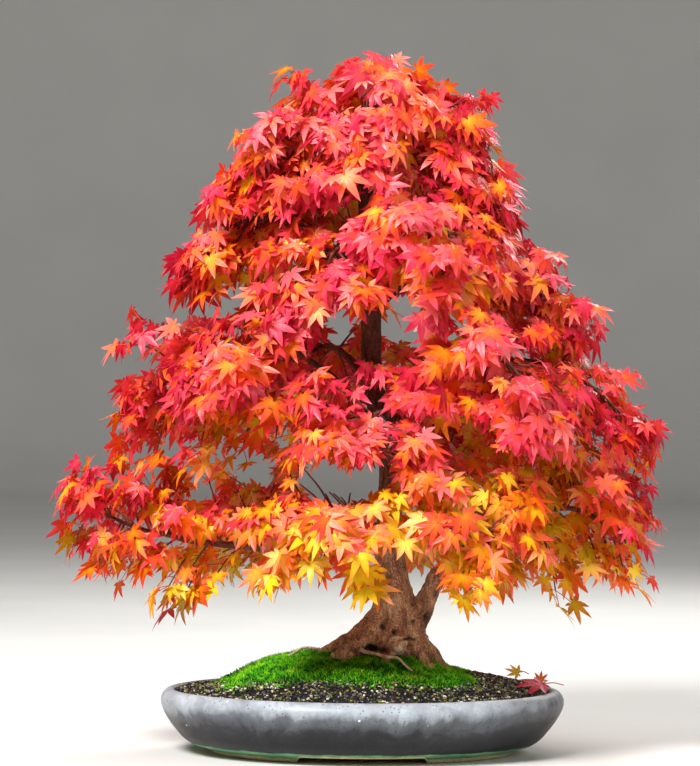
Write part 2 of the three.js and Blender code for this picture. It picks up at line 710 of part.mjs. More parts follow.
/** A fallen leaf, stalk and all, raised until it just clears what it lies on. */
function fallenLeaf({ at, heading: azimuth, size, lift }, ground) {
  const ahead = heading(azimuth).add(vec(0, 0, -lift)).normalize();
  const { right, up } = crossAxes(ahead);
  for (let height = groundHeight(at[0], at[1]) - 3; ; height += 0.25) {
    const base = vec(at[0], at[1], height);
    const stalk = base.clone().addScaledVector(ahead, -size * 0.8);
    const points = [
      stalk.clone().addScaledVector(up, 0.8),
      stalk.clone().addScaledVector(right, 0.8),
      stalk.clone().addScaledVector(right, -0.8),
    ];
    const form = { points, faces: [0, 2, 1] };
    addLeaf(form, [0, 1, 2], { base, ahead, face: up, size });
    const made = solidOfFaces(form);
    if (ground.every((solid) => made.intersect(solid).isEmpty())) return made;
  }
}

// ---- the whole ----
/** A mesh for a solid, in a group, with its own origin at a point of it. */
function addPiece(parent, name, solid, look, origin = vec(0, 0, 0)) {
  const geometry = geometryOf(solid).translate(-origin.x, -origin.y, -origin.z);
  const material = new THREE.MeshStandardMaterial({ metalness: 0, ...look });
  const mesh = new THREE.Mesh(geometry, material);
  mesh.name = name;
  mesh.position.copy(origin);
  parent.add(mesh);
}

const bonsai = new THREE.Group();
const potGroup = new THREE.Group();
const groundGroup = new THREE.Group();
const treeGroup = new THREE.Group();
bonsai.add(potGroup, groundGroup, treeGroup);

const tree = wood(0);
const treeRoom = wood(GAP); // the tree and the gap round it
const potSolid = pot();
addPiece(potGroup, "pot", potSolid, LOOKS.glaze);

const screenRoom = [];
for (const [name, side] of [["left", -1], ["right", 1]]) {
  const at = vec(side * POT.drainAt, 0, POT_UNDERSIDE.floorHigh + GAP);
  addPiece(potGroup, `drain_screen_${name}`, drainScreen(at), LOOKS.screen, at);
  const room = SCREEN.side + 2 * GAP;
  screenRoom.push(block(room, room, 2 * (SCREEN.thickness + GAP), at.x, at.y, at.z));
}

const soilSolid = mainBody(wasm.Manifold.difference([soil(), treeRoom, ...screenRoom]));
addPiece(groundGroup, "soil", soilSolid, LOOKS.soil);
addPiece(groundGroup, "moss", mainBody(moss().subtract(treeRoom)), LOOKS.moss);

const under = [soilSolid, potSolid];
for (const fallen of FALLEN) {
  const solid = fallenLeaf(fallen, under);
  under.push(solid);
  const [x, y] = fallen.at;
  const look = { color: fallen.colour, roughness: LEAF.roughness };
  addPiece(groundGroup, fallen.name, solid, look, vec(x, y, groundHeight(x, y)));
}

addPiece(treeGroup, "trunk", tree, LOOKS.bark);
const tierGroups = new Map(TIERS.map((tier) => [tier, new THREE.Group()]));
treeGroup.add(...tierGroups.values());
const grown = []; // the finished sprays
for (const { branch, stems } of growFoliage(treeRoom)) {
  const parts = stems.flatMap((stem) => {
    const choices = [leafyTwig(stem), leafyTwig({ ...stem, leaves: {} })];
    return choices.find((solid) => grown.every((other) => solid.intersect(other).isEmpty())) ?? [];
  });
  const spray = mainBody(wasm.Manifold.union(parts).subtract(treeRoom));
  grown.push(spray);
  const look = { color: branch.tier.colour, roughness: LEAF.roughness };
  addPiece(tierGroups.get(branch.tier), `foliage_${branch.name}`, spray, look, stems[0].curve.v0);
}

// The origin is under the middle of the whole, crown included, at the height of the feet.
const box = new THREE.Box3().setFromObject(bonsai);
const middle = box.getCenter(vec(0, 0, 0));
bonsai.position.set(-middle.x, -middle.y, -box.min.z);

export default bonsai;
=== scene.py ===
# A Japanese maple grown as a bonsai, in autumn leaf, in a glazed oval pot with moss and grit.
# Shapes are worked out in millimetres round the pot's middle; intoFrame() puts them, in metres,
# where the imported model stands. Every random draw is seeded, so each run gives the same tree.
import math
import bpy
import numpy as np
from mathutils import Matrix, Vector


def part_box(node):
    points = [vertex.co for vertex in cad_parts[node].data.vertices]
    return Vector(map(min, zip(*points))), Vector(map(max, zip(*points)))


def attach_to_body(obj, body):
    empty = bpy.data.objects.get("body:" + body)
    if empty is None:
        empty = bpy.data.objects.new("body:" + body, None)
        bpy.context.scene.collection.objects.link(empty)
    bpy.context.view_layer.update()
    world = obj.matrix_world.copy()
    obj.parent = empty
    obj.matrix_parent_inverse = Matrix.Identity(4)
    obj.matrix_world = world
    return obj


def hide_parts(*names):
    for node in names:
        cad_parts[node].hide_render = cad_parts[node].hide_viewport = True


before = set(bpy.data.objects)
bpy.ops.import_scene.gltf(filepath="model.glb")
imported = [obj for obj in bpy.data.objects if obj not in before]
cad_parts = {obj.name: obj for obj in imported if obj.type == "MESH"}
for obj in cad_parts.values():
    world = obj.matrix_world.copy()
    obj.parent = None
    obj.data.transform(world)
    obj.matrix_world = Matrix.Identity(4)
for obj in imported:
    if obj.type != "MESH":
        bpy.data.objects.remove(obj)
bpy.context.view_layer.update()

degrees = math.pi / 180
potLow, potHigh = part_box("pot")
feetAt = 4  # shapes are worked out from 4 mm under the feet
potMiddle = np.array([(potLow.x + potHigh.x) / 2, (potLow.y + potHigh.y) / 2,
                      potLow.z - feetAt / 1000])


# repeatable draws, smooth noise and curves
def draw(a, b=0, c=0):
    # the same number from 0 to 1 every time: the far decimals of a sine of a, b and c
    wave = np.sin(np.multiply(a, 12.9898) + np.multiply(b, 78.233) + np.multiply(c, 37.719))
    wave = wave * 43758.5453
    return wave - np.floor(wave)


def swing(a, b=0, c=0):
    # a draw from -1 to 1
    return 2 * draw(a, b, c) - 1


def lerp(low, high, share):
    # low where share is 0, high where it is 1, and a straight line between
    return low + (high - low) * share


def smoothStep(value, low, high):
    # 0 up to low, 1 from high on, and 3s^2 - 2s^3 between them
    share = np.clip((value - low) / (high - low), 0, 1)
    return share * share * (3 - 2 * share)


def unit(vectors):
    # each vector divided by its length
    return vectors / np.maximum(np.linalg.norm(vectors, axis=-1, keepdims=True), 1e-9)


def noise(points, size, seed=0):
    # smooth noise from -1 to 1: a draw at each corner of a cube of that size, blended between them
    cell = points / size
    low = np.floor(cell)
    part = smoothStep(cell - low, 0, 1)
    total = 0
    for corner in np.ndindex(2, 2, 2):
        weight = np.prod(np.where(np.array(corner) == 1, part, 1 - part), axis=-1)
        at = low + corner
        total = total + weight * draw(at[..., 0] + seed * 7.3, at[..., 1], at[..., 2])
    return 2 * total - 1


def bezier(start, control, end, share):
    # (1-s)^2 start + 2s(1-s) control + s^2 end
    return (1 - share) ** 2 * start + 2 * share * (1 - share) * control + share**2 * end


def bezierAhead(start, control, end, share):
    # the direction of that curve
    return unit((1 - share) * (control - start) + share * (end - control))


def throughPoints(rows, steps):
    # a smooth curve through the rows, which may have any number of columns: from one row to the
    # next it's the cubic whose slope at each is half the step between that row's two neighbours
    rows = np.asarray(rows, float)
    padded = np.vstack([2 * rows[0] - rows[1], rows, 2 * rows[-1] - rows[-2]])
    place = np.linspace(0, len(rows) - 1, steps)
    k = np.minimum(place.astype(int), len(rows) - 2)
    t = (place - k)[:, None]
    a, b, c, d = (padded[k + i] for i in range(4))
    return 0.5 * (2 * b + (c - a) * t + (2 * a - 5 * b + 4 * c - d) * t**2
                  + (3 * b - a - 3 * c + d) * t**3)


# from arrays of points to pieces
def intoFrame(points):
    # from millimetres round the pot's middle to metres in the frame
    return points / 1000 + potMiddle


def newPiece(name, forms, paints=(), smooth=True):
    # one mesh from several forms: each has points, lists of faces, and may have paint, tint, detail
    mesh = bpy.data.meshes.new(name)
    loops, counts, slots, start = [], [], [], 0
    for form in forms:
        for faces in form["faces"]:
            loops.append((faces + start).ravel())
            counts.append(np.full(len(faces), faces.shape[1]))
            slots.append(np.full(len(faces), form.get("paint", 0)))
        start += len(form["points"])
    loops, counts, slots = (np.concatenate(x).astype(np.int32) for x in (loops, counts, slots))
    points = np.concatenate([form["points"] for form in forms])
    mesh.vertices.add(len(points))
    mesh.vertices.foreach_set("co", intoFrame(points).astype(np.float32).ravel())
    mesh.loops.add(len(loops))
    mesh.loops.foreach_set("vertex_index", loops)
    mesh.polygons.add(len(counts))
    mesh.polygons.foreach_set("loop_start", (np.cumsum(counts) - counts).astype(np.int32))
    mesh.polygons.foreach_set("material_index", slots)
    mesh.update(calc_edges=True)
    mesh.polygons.foreach_set("use_smooth", np.full(len(counts), smooth))
    for key, kind, width, field in (("tint", "FLOAT", 1, "value"),
                                    ("detail", "FLOAT_VECTOR", 3, "vector")):
        if not any(key in form for form in forms):
            continue
        values = []
        for form in forms:
            given = np.asarray(form.get(key, 0.0), float)
            given = given.reshape(-1, width) if given.size > 1 else given.reshape(1, 1)
            values.append(np.broadcast_to(given, (len(form["points"]), width)))
        attribute = mesh.attributes.new(key, kind, "POINT")
        attribute.data.foreach_set(field, np.concatenate(values).astype(np.float32).ravel())
    for paint in paints:
        mesh.materials.append(paint)
    piece = bpy.data.objects.new(name, mesh)
    bpy.context.scene.collection.objects.link(piece)
    return piece


def settle(piece, slot, *nodes):
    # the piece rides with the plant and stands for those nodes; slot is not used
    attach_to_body(piece, "root")
    if nodes:
        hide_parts(*nodes)


def tubes(paths, girths, sides, **extra):
    # round each point of each path: middle + girth (across cos(angle) + up sin(angle)), ends closed
    count, steps = paths.shape[:2]
    ahead = unit(np.gradient(paths, axis=1))
    mean = unit(ahead.sum(axis=1, keepdims=True))
    upright = np.abs(mean[..., 2:]) > 0.8
    across = unit(np.cross(ahead, np.where(upright, [1.0, 0, 0], [0, 0, 1.0])))
    up = np.cross(across, ahead)
    angle = np.arange(sides) / sides * 2 * math.pi
    ring = across[:, :, None] * np.cos(angle)[:, None] + up[:, :, None] * np.sin(angle)[:, None]
    girths = np.broadcast_to(girths if np.ndim(girths) == 3 else girths[..., None], ring.shape[:3])
    body = (paths[:, :, None] + ring * girths[..., None]).reshape(-1, 3)
    points = np.concatenate([body, paths[:, 0], paths[:, -1]])
    numbers = np.arange(count * steps * sides).reshape(count, steps, sides)
    turned = np.roll(numbers, -1, axis=2)
    quads = np.stack([numbers[:, :-1], numbers[:, 1:], turned[:, 1:], turned[:, :-1]], axis=-1)
    first = np.broadcast_to((len(body) + np.arange(count))[:, None], (count, sides))
    caps = [np.stack([first, numbers[:, 0], turned[:, 0]], axis=-1),
            np.stack([first + count, turned[:, -1], numbers[:, -1]], axis=-1)]
    faces = [quads.reshape(-1, 4), np.concatenate(caps).reshape(-1, 3)]
    return {"points": points, "faces": faces, **extra}


def ringed(rows, **extra):
    # a closed skin over rings of points, rows x around x 3; the first and last rows are each one
    # place, which closes it
    count, around = rows.shape[:2]
    inner = rows[1:-1].reshape(-1, 3)
    points = np.concatenate([inner, rows[:1, 0], rows[-1:, 0]])
    numbers = np.arange(len(inner)).reshape(count - 2, around)
    turned = np.roll(numbers, -1, axis=1)
    quads = np.stack([numbers[:-1], turned[:-1], turned[1:], numbers[1:]], axis=-1)
    first, last = np.full(around, len(inner)), np.full(around, len(inner) + 1)
    caps = [np.stack([first, turned[0], numbers[0]], axis=-1),
            np.stack([last, numbers[-1], turned[-1]], axis=-1)]
    return {"points": points, "faces": [quads.reshape(-1, 4), np.concatenate(caps)], **extra}


def finalMesh(piece):
    # the mesh with its modifiers worked in
    graph = bpy.context.evaluated_depsgraph_get()
    mesh = bpy.data.meshes.new_from_object(piece.evaluated_get(graph))
    piece.modifiers.clear()
    piece.data = mesh
    return mesh


# short ways to write node materials
def paintOf(code):
    # a web colour as the linear one that shaders take
    channels = [int(code[i:i + 2], 16) / 255 for i in (1, 3, 5)]
    return [c / 12.92 if c < 0.04045 else ((c + 0.055) / 1.055) ** 2.4 for c in channels] + [1]


def newMaterial(name, **sockets):
    # a Principled material; a socket's name is written with _ for each space
    material = bpy.data.materials.new(name)
    material.use_nodes = True
    shader = material.node_tree.nodes["Principled BSDF"]
    for key, value in sockets.items():
        shader.inputs[key.replace("_", " ")].default_value = value
    return material, material.node_tree, shader


def addNode(tree, kind, inputs=(), **settings):
    # a shader node; each input is linked if it's a socket, and set if it's a value
    node = tree.nodes.new("ShaderNode" + kind)
    for key, value in settings.items():
        setattr(node, key, value)
    for key, value in dict(inputs).items():
        if isinstance(value, bpy.types.NodeSocket):
            tree.links.new(value, node.inputs[key])
        else:
            node.inputs[key].default_value = value
    return node


def sums(tree, operation, a, b=0.0, c=0.0, clamp=False):
    # a Math node of a, b and c; clamp keeps what it gives from 0 to 1
    node = addNode(tree, "Math", {0: a, 1: b, 2: c}, operation=operation, use_clamp=clamp)
    return node.outputs[0]


def times(tree, a, b, clamp=False):
    # a x b
    return sums(tree, "MULTIPLY", a, b, clamp=clamp)


def scaled(tree, value, by, plus, clamp=False):
    # value x by + plus
    return sums(tree, "MULTIPLY_ADD", value, by, plus, clamp=clamp)


def ramp(tree, factor, stops):
    # stops are places from 0 to 1, each with a web colour or a grey level
    node = addNode(tree, "ValToRGB", {"Fac": factor})
    bar = node.color_ramp.elements
    for spot, code in stops[2:]:
        bar.new(spot)
    for element, (spot, code) in zip(bar, sorted(stops)):
        element.position = spot
        element.color = paintOf(code) if isinstance(code, str) else (code, code, code, 1)
    return node.outputs["Color"]


def blendColours(tree, factor, a, b, blend="MIX"):
    # colour a where the factor is 0, a blended with b where it is 1
    node = addNode(tree, "Mix", {0: factor, 6: a, 7: b}, data_type="RGBA", blend_type=blend)
    return node.outputs[2]


def overlay(tree, factor, colour, stain):
    # the colour darkened where the stain is dark and lightened where it is light
    return blendColours(tree, factor, colour, stain, "OVERLAY")


def grain(tree, place, scale, detail=4.0, rough=0.55, spread=0.0):
    # noise from 0 to 1 in lumps about 1 / scale metres wide
    sockets = {"Vector": place, "Scale": scale, "Detail": detail, "Roughness": rough,
               "Distortion": spread}
    return addNode(tree, "TexNoise", sockets).outputs["Fac"]


def tintOf(tree):
    # each point's own tint, kept in the mesh
    return addNode(tree, "Attribute", attribute_name="tint").outputs["Fac"]


def objectPlace(tree, scale=(1, 1, 1), at=(0, 0, 0)):
    # the point's place in metres x scale + at
    place = addNode(tree, "TexCoord").outputs["Object"]
    return addNode(tree, "Mapping", {"Vector": place, "Scale": scale, "Location": at}).outputs[0]


def paintShader(tree, shader, colour, gloss):
    # a colour and a roughness that vary over the surface
    tree.links.new(colour, shader.inputs["Base Color"])
    tree.links.new(gloss, shader.inputs["Roughness"])


def bump(tree, shader, height, strength, distance):
    # relief drawn by tilting normals, up to distance metres deep
    sockets = {"Height": height, "Strength": strength, "Distance": distance}
    node = addNode(tree, "Bump", sockets)
    tree.links.new(node.outputs["Normal"], shader.inputs["Normal"])
    return node.outputs["Normal"]


# the ground's shape, which soil, grit, moss and roots share
ground = {
    "lip": 187.2, "lipShort": 139.2,  # where the grit meets the pot, half length and half depth
    "edgeHeight": 64, "moundHeight": 39.5,
    "dip": 11, "dipAt": -143, "dipWide": 34,  # how the left end sinks: depth, place, half width
    "flatter": 0.35, "flatterFrom": 40, "flatterTo": 100,  # how the mound sinks to the right
    "mossThick": 6, "mossThin": 1.6,  # room for the moss, in its middle and at its edge
    "mossReach": 0.82, "mossBare": 0.25,  # the moss's edge as a share of the lip; less at the right
}


def groundHeight(x, y):
    # a mound: edge + mound (1 - far)^0.8 skew, where far is 0 in the middle and 1 at the lip and
    # skew falls from 1 to the right, less a bell-shaped dip across its left end
    far = np.clip((x / ground["lip"]) ** 2 + (y / ground["lipShort"]) ** 2, 0, 1)
    skew = 1 - ground["flatter"] * smoothStep(x, ground["flatterFrom"], ground["flatterTo"])
    bell = np.exp(-((x - ground["dipAt"]) / ground["dipWide"]) ** 2)
    dip = ground["dip"] * bell * np.minimum(1, 6 * (1 - far))
    return ground["edgeHeight"] + ground["moundHeight"] * (1 - far) ** 0.8 * skew - dip


def mossEdge(angle):
    # reach - bare bell round the right end + two small waves, as a share of the way to the lip
    bare = np.exp((np.cos(angle - 0.1) - 1) * 5.5)
    waves = 0.02 * np.sin(angle * 5 + 1), 0.012 * np.sin(angle * 11)
    return ground["mossReach"] - ground["mossBare"] * bare + waves[0] + waves[1]


def groundPlace(angle, share):
    # x and y at a share of the way from the middle to the lip
    return ground["lip"] * share * np.cos(angle), ground["lipShort"] * share * np.sin(angle)


# the pot: a profile carried round an oval
pot = {
    "inset": 48, "around": 600,  # half length less half depth; steps round the oval
    # the wall from the foot's inside out, over the lip and down the inside: half length, height
    "outside": [(142.6, 11), (142.8, 4.6), (143.6, 4), (151.0, 4), (152.2, 5.2), (158.2, 8.8),
                (160.5, 9.9), (166.5, 11.3), (174, 14.5), (181, 20.3), (186, 26.5), (191.5, 33.2),
                (196, 40), (199.6, 46.7), (201.7, 53.4), (201.6, 58.2), (199.6, 62.7),
                (196, 66), (192.4, 67.2), (189.6, 67), (187.7, 65.6), (187.6, 61.5),
                (189, 55), (189.6, 48.3), (186, 38.6), (178, 27.4), (168, 19.2), (158, 16.3)],
    "floorUnder": 11, "floorTop": 16, "foot": 142.5,  # the floor's two faces; the foot's inside
    # cuts in the foot ring: half widths in front and at the ends, how high they reach
    "footGap": 61.5, "footEndGap": 31, "footGapTop": 10,
    "drainAt": 78, "drainRadius": 13,
    "sway": 0.0018,  # how far the wall wanders, as a share of its distance from the middle
}
glaze = {
    # from the dark glaze below to the pale one that ran down from the lip; the lowest stops are
    # darker than the glaze itself, as painted shade under the pot's curve
    "stops": [(0.0, "#19191c"), (0.34, "#232327"), (0.46, "#303035"), (0.52, "#3d3e43"),
              (0.57, "#56595e"), (0.7, "#6e7278"), (0.74, "#8c9298"), (0.8, "#a3abb2"),
              (0.98, "#b4bbc1")],
    "clouds": [(0.28, "#35363a"), (0.72, "#d4d8db")],
    "warm": "#a08c7c", "iron": "#2c2d33", "bubble": "#e9edf0", "crackle": "#4b4d50",
    "footShadowLine": "#141a18", "footGreen": [(0.3, "#3a6a4c"), (0.5, "#659a72"), (0.72, "#9cc092")],
    "footCream": [(0.3, "#d2ba86"), (0.7, "#f8ecc6")],
    "gloss": [(0.3, 0.34), (0.7, 0.55)],
}


def cutCorners(profile, times=1):
    # each corner is replaced by two points, a quarter and three quarters of the way between corners
    for _ in range(times):
        a, b = profile[:-1], profile[1:]
        middle = np.stack([0.75 * a + 0.25 * b, 0.25 * a + 0.75 * b], axis=1).reshape(-1, 2)
        profile = np.vstack([profile[:1], middle, profile[-1:]])
    return profile


def ovalRing(half, height, angle):
    # x = r cos(angle), y = (r - inset) sin(angle); within the foot both shrink alike to the middle
    foot = pot["foot"]
    inner = np.minimum(half / foot, 1)
    long = np.where(half > foot, half, foot * inner)
    short = np.where(half > foot, half - pot["inset"], (foot - pot["inset"]) * inner)
    x, y, z = np.broadcast_arrays(long * np.cos(angle), short * np.sin(angle), height)
    return np.stack([x, y, z], axis=-1)


def glazeMaterial():
    # tint is how far the foot's lower edge is cut away above the feet, in metres
    material, tree, shader = newMaterial("stonewareGlaze", Specular_IOR_Level=0.22,
                                         Coat_Weight=0.07, Coat_Roughness=0.2)
    place = objectPlace(tree)
    across, _, height = addNode(tree, "SeparateXYZ", {"Vector": place}).outputs
    runs = grain(tree, objectPlace(tree, (1, 1, 0.5), (0.37, 0.2, 0)), 21, 5, 0.62, 0.7)
    broad = grain(tree, objectPlace(tree, (1, 1, 1), (0.6, 0.1, 0)), 9, 3, 0.5)
    # the height in the pot, from 0 to 1, shifted by the runs of the glaze
    level = scaled(tree, height, 1 / 0.07, feetAt / 70)
    level = sums(tree, "ADD", level, scaled(tree, runs, 0.6, -0.3))
    level = sums(tree, "ADD", level, scaled(tree, broad, 0.3, -0.15))
    # painted shade: the glaze darkens towards the right, the side away from the light
    level = sums(tree, "ADD", level, times(tree, across, -0.3))
    # dark low down: partly the glaze's own colour, partly painted shade under the curve
    body = ramp(tree, level, glaze["stops"])
    cloudy = grain(tree, place, 46, 6, 0.66, 0.5)
    body = overlay(tree, 0.5, body, ramp(tree, cloudy, glaze["clouds"]))
    # warmer, browner glaze in broad places and at the ends
    warmth = grain(tree, objectPlace(tree, (1, 1, 1), (3.1, 0.4, 0.2)), 13, 3, 0.5)
    warmth = scaled(tree, warmth, 2.2, -0.98, clamp=True)
    ends = scaled(tree, sums(tree, "ABSOLUTE", across), 9.0, -1.0, clamp=True)
    warmth = sums(tree, "MAXIMUM", times(tree, warmth, 0.4), times(tree, ends, 0.3))
    body = overlay(tree, warmth, body, paintOf(glaze["warm"]))
    # speckles where iron shows through, and a few pale bubbles
    specks = addNode(tree, "TexVoronoi", {"Vector": place, "Scale": 260.0}).outputs["Distance"]
    rare = grain(tree, place, 90, 2)
    specks = times(tree, sums(tree, "LESS_THAN", specks, 0.22),
                   sums(tree, "GREATER_THAN", rare, 0.54))
    body = blendColours(tree, times(tree, specks, 0.6), body, paintOf(glaze["iron"]))
    dots = addNode(tree, "TexVoronoi", {"Vector": place, "Scale": 42.0}).outputs["Distance"]
    body = blendColours(tree, sums(tree, "LESS_THAN", dots, 0.055), body,
                        paintOf(glaze["bubble"]))
    # crackle: thin dark lines between cells
    cells = addNode(tree, "TexVoronoi", {"Vector": place, "Scale": 75.0},
                    feature="DISTANCE_TO_EDGE")
    crackle = sums(tree, "LESS_THAN", cells.outputs["Distance"], 0.014)
    body = blendColours(tree, times(tree, crackle, 0.14), body, paintOf(glaze["crackle"]))
    # the foot: green glaze that pools under a dark line, painted shadow where the wall curves under,
    # then a cream edge, also over the cuts
    wander = scaled(tree, grain(tree, place, 60, 3), 0.004, -0.002)
    low = sums(tree, "ADD", height, wander)
    edge = tintOf(tree)
    overEdge = sums(tree, "SUBTRACT", low, times(tree, edge, 0.7))
    green = ramp(tree, cloudy, glaze["footGreen"])
    cream = ramp(tree, grain(tree, place, 320, 4), glaze["footCream"])
    isCream = scaled(tree, overEdge, -1 / 0.0009, 4.9, clamp=True)
    foot = blendColours(tree, isCream, green, cream)
    # painted shadow: a dark band just above the foot, where the wall curves under
    isShadowLine = scaled(tree, low, -1 / 0.0014, 10.0, clamp=True)
    body = blendColours(tree, times(tree, isShadowLine, 0.75), body, paintOf(glaze["footShadowLine"]))
    isFoot = scaled(tree, low, -1 / 0.0009, 12.4, clamp=True)
    body = blendColours(tree, isFoot, body, foot)
    paintShader(tree, shader, body, ramp(tree, cloudy, glaze["gloss"]))
    relief = sums(tree, "ADD", times(tree, cloudy, 0.5), times(tree, specks, -0.4))
    bump(tree, shader, relief, 0.35, 0.0009)
    return material


def buildPot():
    # the profile goes round the oval, then its foot is cut and two drainage holes are drilled
    profile = [(0.0, pot["floorUnder"])] + pot["outside"] + [(0.0, pot["floorTop"])]
    profile = cutCorners(np.array(profile, float), 2)
    angle = np.arange(pot["around"]) / pot["around"] * 2 * math.pi
    rows = ovalRing(profile[:, :1], profile[:, 1:], angle[None, :])
    x, y, z = np.moveaxis(rows, -1, 0)

    def inside(away, gap):
        # 1 within the gap, 0 outside it, with a short slope between
        return 1 - smoothStep(np.abs(away), gap - 1.5, gap + 2.5)

    # the foot ring is cut away in front, behind and at both ends
    front = inside(x, pot["footGap"]) * (np.abs(y) > 60)
    side = inside(y, pot["footEndGap"]) * (np.abs(x) > 110)
    raised = (pot["footGapTop"] - feetAt) * np.maximum(front, side)
    z = np.maximum(z, feetAt + raised)
    # a hand-finished wall: it wanders by a third of a millimetre
    isWall = smoothStep(z, 12, 30) * (profile[:, :1] > 150)
    sway = 1 + isWall * pot["sway"] * noise(np.stack([x, y, z * 2], axis=-1), 55, 3)
    rows = np.stack([x * sway, y * sway, z], axis=-1)
    edge = np.concatenate([raised[1:-1].ravel(), [0, 0]]) / 1000
    piece = newPiece("glazedPot", [ringed(rows, tint=edge)], [glazeMaterial()])
    for at in (-pot["drainAt"], pot["drainAt"]):
        path = np.array([[[at, 0, 0.0], [at, 0, 30.0]]])
        drill = newPiece("drill", [tubes(path, np.full((1, 2), pot["drainRadius"]), 40)])
        cut = piece.modifiers.new("Drain", "BOOLEAN")
        cut.object, cut.operation, cut.solver = drill, "DIFFERENCE", "EXACT"
        finalMesh(piece)
        bpy.data.objects.remove(drill)
    settle(piece, "glaze", "pot")
    print("pot made,", len(piece.data.polygons), "faces")


def screenMaterial():
    # black plastic with dust on it
    material, tree, shader = newMaterial("meshPlastic", Specular_IOR_Level=0.4)
    place = objectPlace(tree)
    dusty = grain(tree, place, 180, 5, 0.6)
    paintShader(tree, shader, ramp(tree, dusty, [(0.35, "#17181b"), (0.75, "#3b3a36")]),
                ramp(tree, dusty, [(0.3, 0.45), (0.7, 0.75)]))
    bump(tree, shader, grain(tree, place, 900, 3), 0.3, 0.0003)
    return material


def buildScreens():
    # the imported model's own screens, under the soil, in a better material
    paint = screenMaterial()
    for side in ("left", "right"):
        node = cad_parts["drain_screen_" + side]
        node.data.materials.clear()
        node.data.materials.append(paint)
    print("screens painted")


# the soil's body, and grit strewn over it
soil = {
    "around": 240, "rings": 70, "floor": 16.5,
    # its wall, up the pot's inside: half length, height
    "wall": [(157.5, 16.6), (167.3, 19.9), (177.2, 27.9), (185.2, 39), (188.8, 48.3), (188.3, 55),
             (187.0, 61.5), (186.9, 63.8)],
}
grit = {
    "stones": 21500, "small": 0.8, "large": 1.9,  # candidates over the whole oval, and radii
    "flat": 0.75,  # a stone's height as a share of its width
    "underMoss": 0.94, "toLip": 0.985,  # where they lie: from under the moss's edge to the lip
    # dark loam, grey and pale stones, then a few brown and green bits
    "stops": [(0.0, "#0a090a"), (0.3, "#171215"), (0.5, "#221a1c"), (0.62, "#3a3637"),
              (0.71, "#6c6c72"), (0.8, "#a8a294"), (0.85, "#f2ecd8"), (0.88, "#7d4f26"),
              (0.94, "#8c9c2c"), (1.0, "#56701c")],
    "pores": [(0.3, "#3a3632"), (0.7, "#d8cfae")],
}


def gritMaterial():
    # tint is each stone's place in the row of shades; the soil between has 0.1 and shows grains
    material, tree, shader = newMaterial("loamGrit", Specular_IOR_Level=0.35)
    place = objectPlace(tree)
    tint = tintOf(tree)
    pores = grain(tree, place, 700, 5, 0.65)
    grains = addNode(tree, "TexVoronoi", {"Vector": place, "Scale": 460.0})
    shade = addNode(tree, "SeparateXYZ", {"Vector": grains.outputs["Color"]}).outputs["X"]
    factor = sums(tree, "ADD", tint, scaled(tree, shade, 0.66, -0.12), clamp=True)
    factor = blendColours(tree, sums(tree, "GREATER_THAN", tint, 0.12), factor, tint)
    colour = ramp(tree, factor, grit["stops"])
    colour = overlay(tree, 0.3, colour, ramp(tree, pores, grit["pores"]))
    paintShader(tree, shader, colour, ramp(tree, pores, [(0.3, 0.7), (0.7, 0.95)]))
    relief = scaled(tree, grains.outputs["Distance"], -1.2, pores)
    bump(tree, shader, relief, 0.8, 0.001)
    return material


def stones(places, radii, seeds, tint):
    # a twenty-sided stone for each place: its corners are stretched, pushed about and turned
    golden = (1 + 5**0.5) / 2
    corners = unit(np.array([(-1, golden, 0), (1, golden, 0), (-1, -golden, 0), (1, -golden, 0),
                             (0, -1, golden), (0, 1, golden), (0, -1, -golden), (0, 1, -golden),
                             (golden, 0, -1), (golden, 0, 1), (-golden, 0, -1), (-golden, 0, 1)]))
    faces = np.array([(0, 11, 5), (0, 5, 1), (0, 1, 7), (0, 7, 10), (0, 10, 11), (1, 5, 9),
                      (5, 11, 4), (11, 10, 2), (10, 7, 6), (7, 1, 8), (3, 9, 4), (3, 4, 2),
                      (3, 2, 6), (3, 6, 8), (3, 8, 9), (4, 9, 5), (2, 4, 11), (6, 2, 10),
                      (8, 6, 7), (9, 8, 1)])
    count = len(places)
    knock = 1 + 0.24 * swing(seeds[:, None], np.arange(12)[None, :], 5)
    stretch = np.stack([lerp(0.75, 1.35, draw(seeds, 6)), lerp(0.75, 1.2, draw(seeds, 7)),
                        grit["flat"] * lerp(0.8, 1.2, draw(seeds, 8))], axis=-1)
    shape = corners[None] * knock[..., None] * stretch[:, None]
    turn, tip = draw(seeds, 9) * 2 * math.pi, swing(seeds, 10) * 0.7
    side = unit(np.stack([np.cos(turn), np.sin(turn), np.sin(tip)], axis=-1))
    above = unit(np.stack([np.sin(tip) * np.sin(turn), -np.sin(tip) * np.cos(turn), np.cos(tip)],
                          axis=-1))
    ahead = unit(np.cross(above, side))
    above = np.cross(side, ahead)
    axes = np.stack([side, ahead, above], axis=1)
    points = np.einsum("nij,njk->nik", shape, axes) * radii[:, None, None] + places[:, None]
    faces = (faces[None] + 12 * np.arange(count)[:, None, None]).reshape(-1, 3)
    return {"points": points.reshape(-1, 3), "faces": [faces], "tint": np.repeat(tint, 12)}


def strewGrit(paint):
    # stones spread evenly over the oval, kept only outside the moss
    seeds = np.arange(grit["stones"]) + 1.0
    angle = draw(seeds, 1) * 2 * math.pi
    share = np.sqrt(draw(seeds, 2))
    kept = (share > mossEdge(angle) * grit["underMoss"]) & (share < grit["toLip"])
    seeds, angle, share = seeds[kept], angle[kept], share[kept]
    x, y = groundPlace(angle, share)
    radii = lerp(grit["small"], grit["large"], draw(seeds, 3) ** 2.2)
    height = groundHeight(x, y) + radii * lerp(-0.1, 0.5, draw(seeds, 4))
    places = np.stack([x, y, height], axis=-1)
    tint = lerp(0.13, 1, draw(seeds, 12))
    piece = newPiece("gritStones", [stones(places, radii, seeds, tint)], [paint], smooth=False)
    settle(piece, "grit")
    print("grit strewn,", len(seeds), "stones")


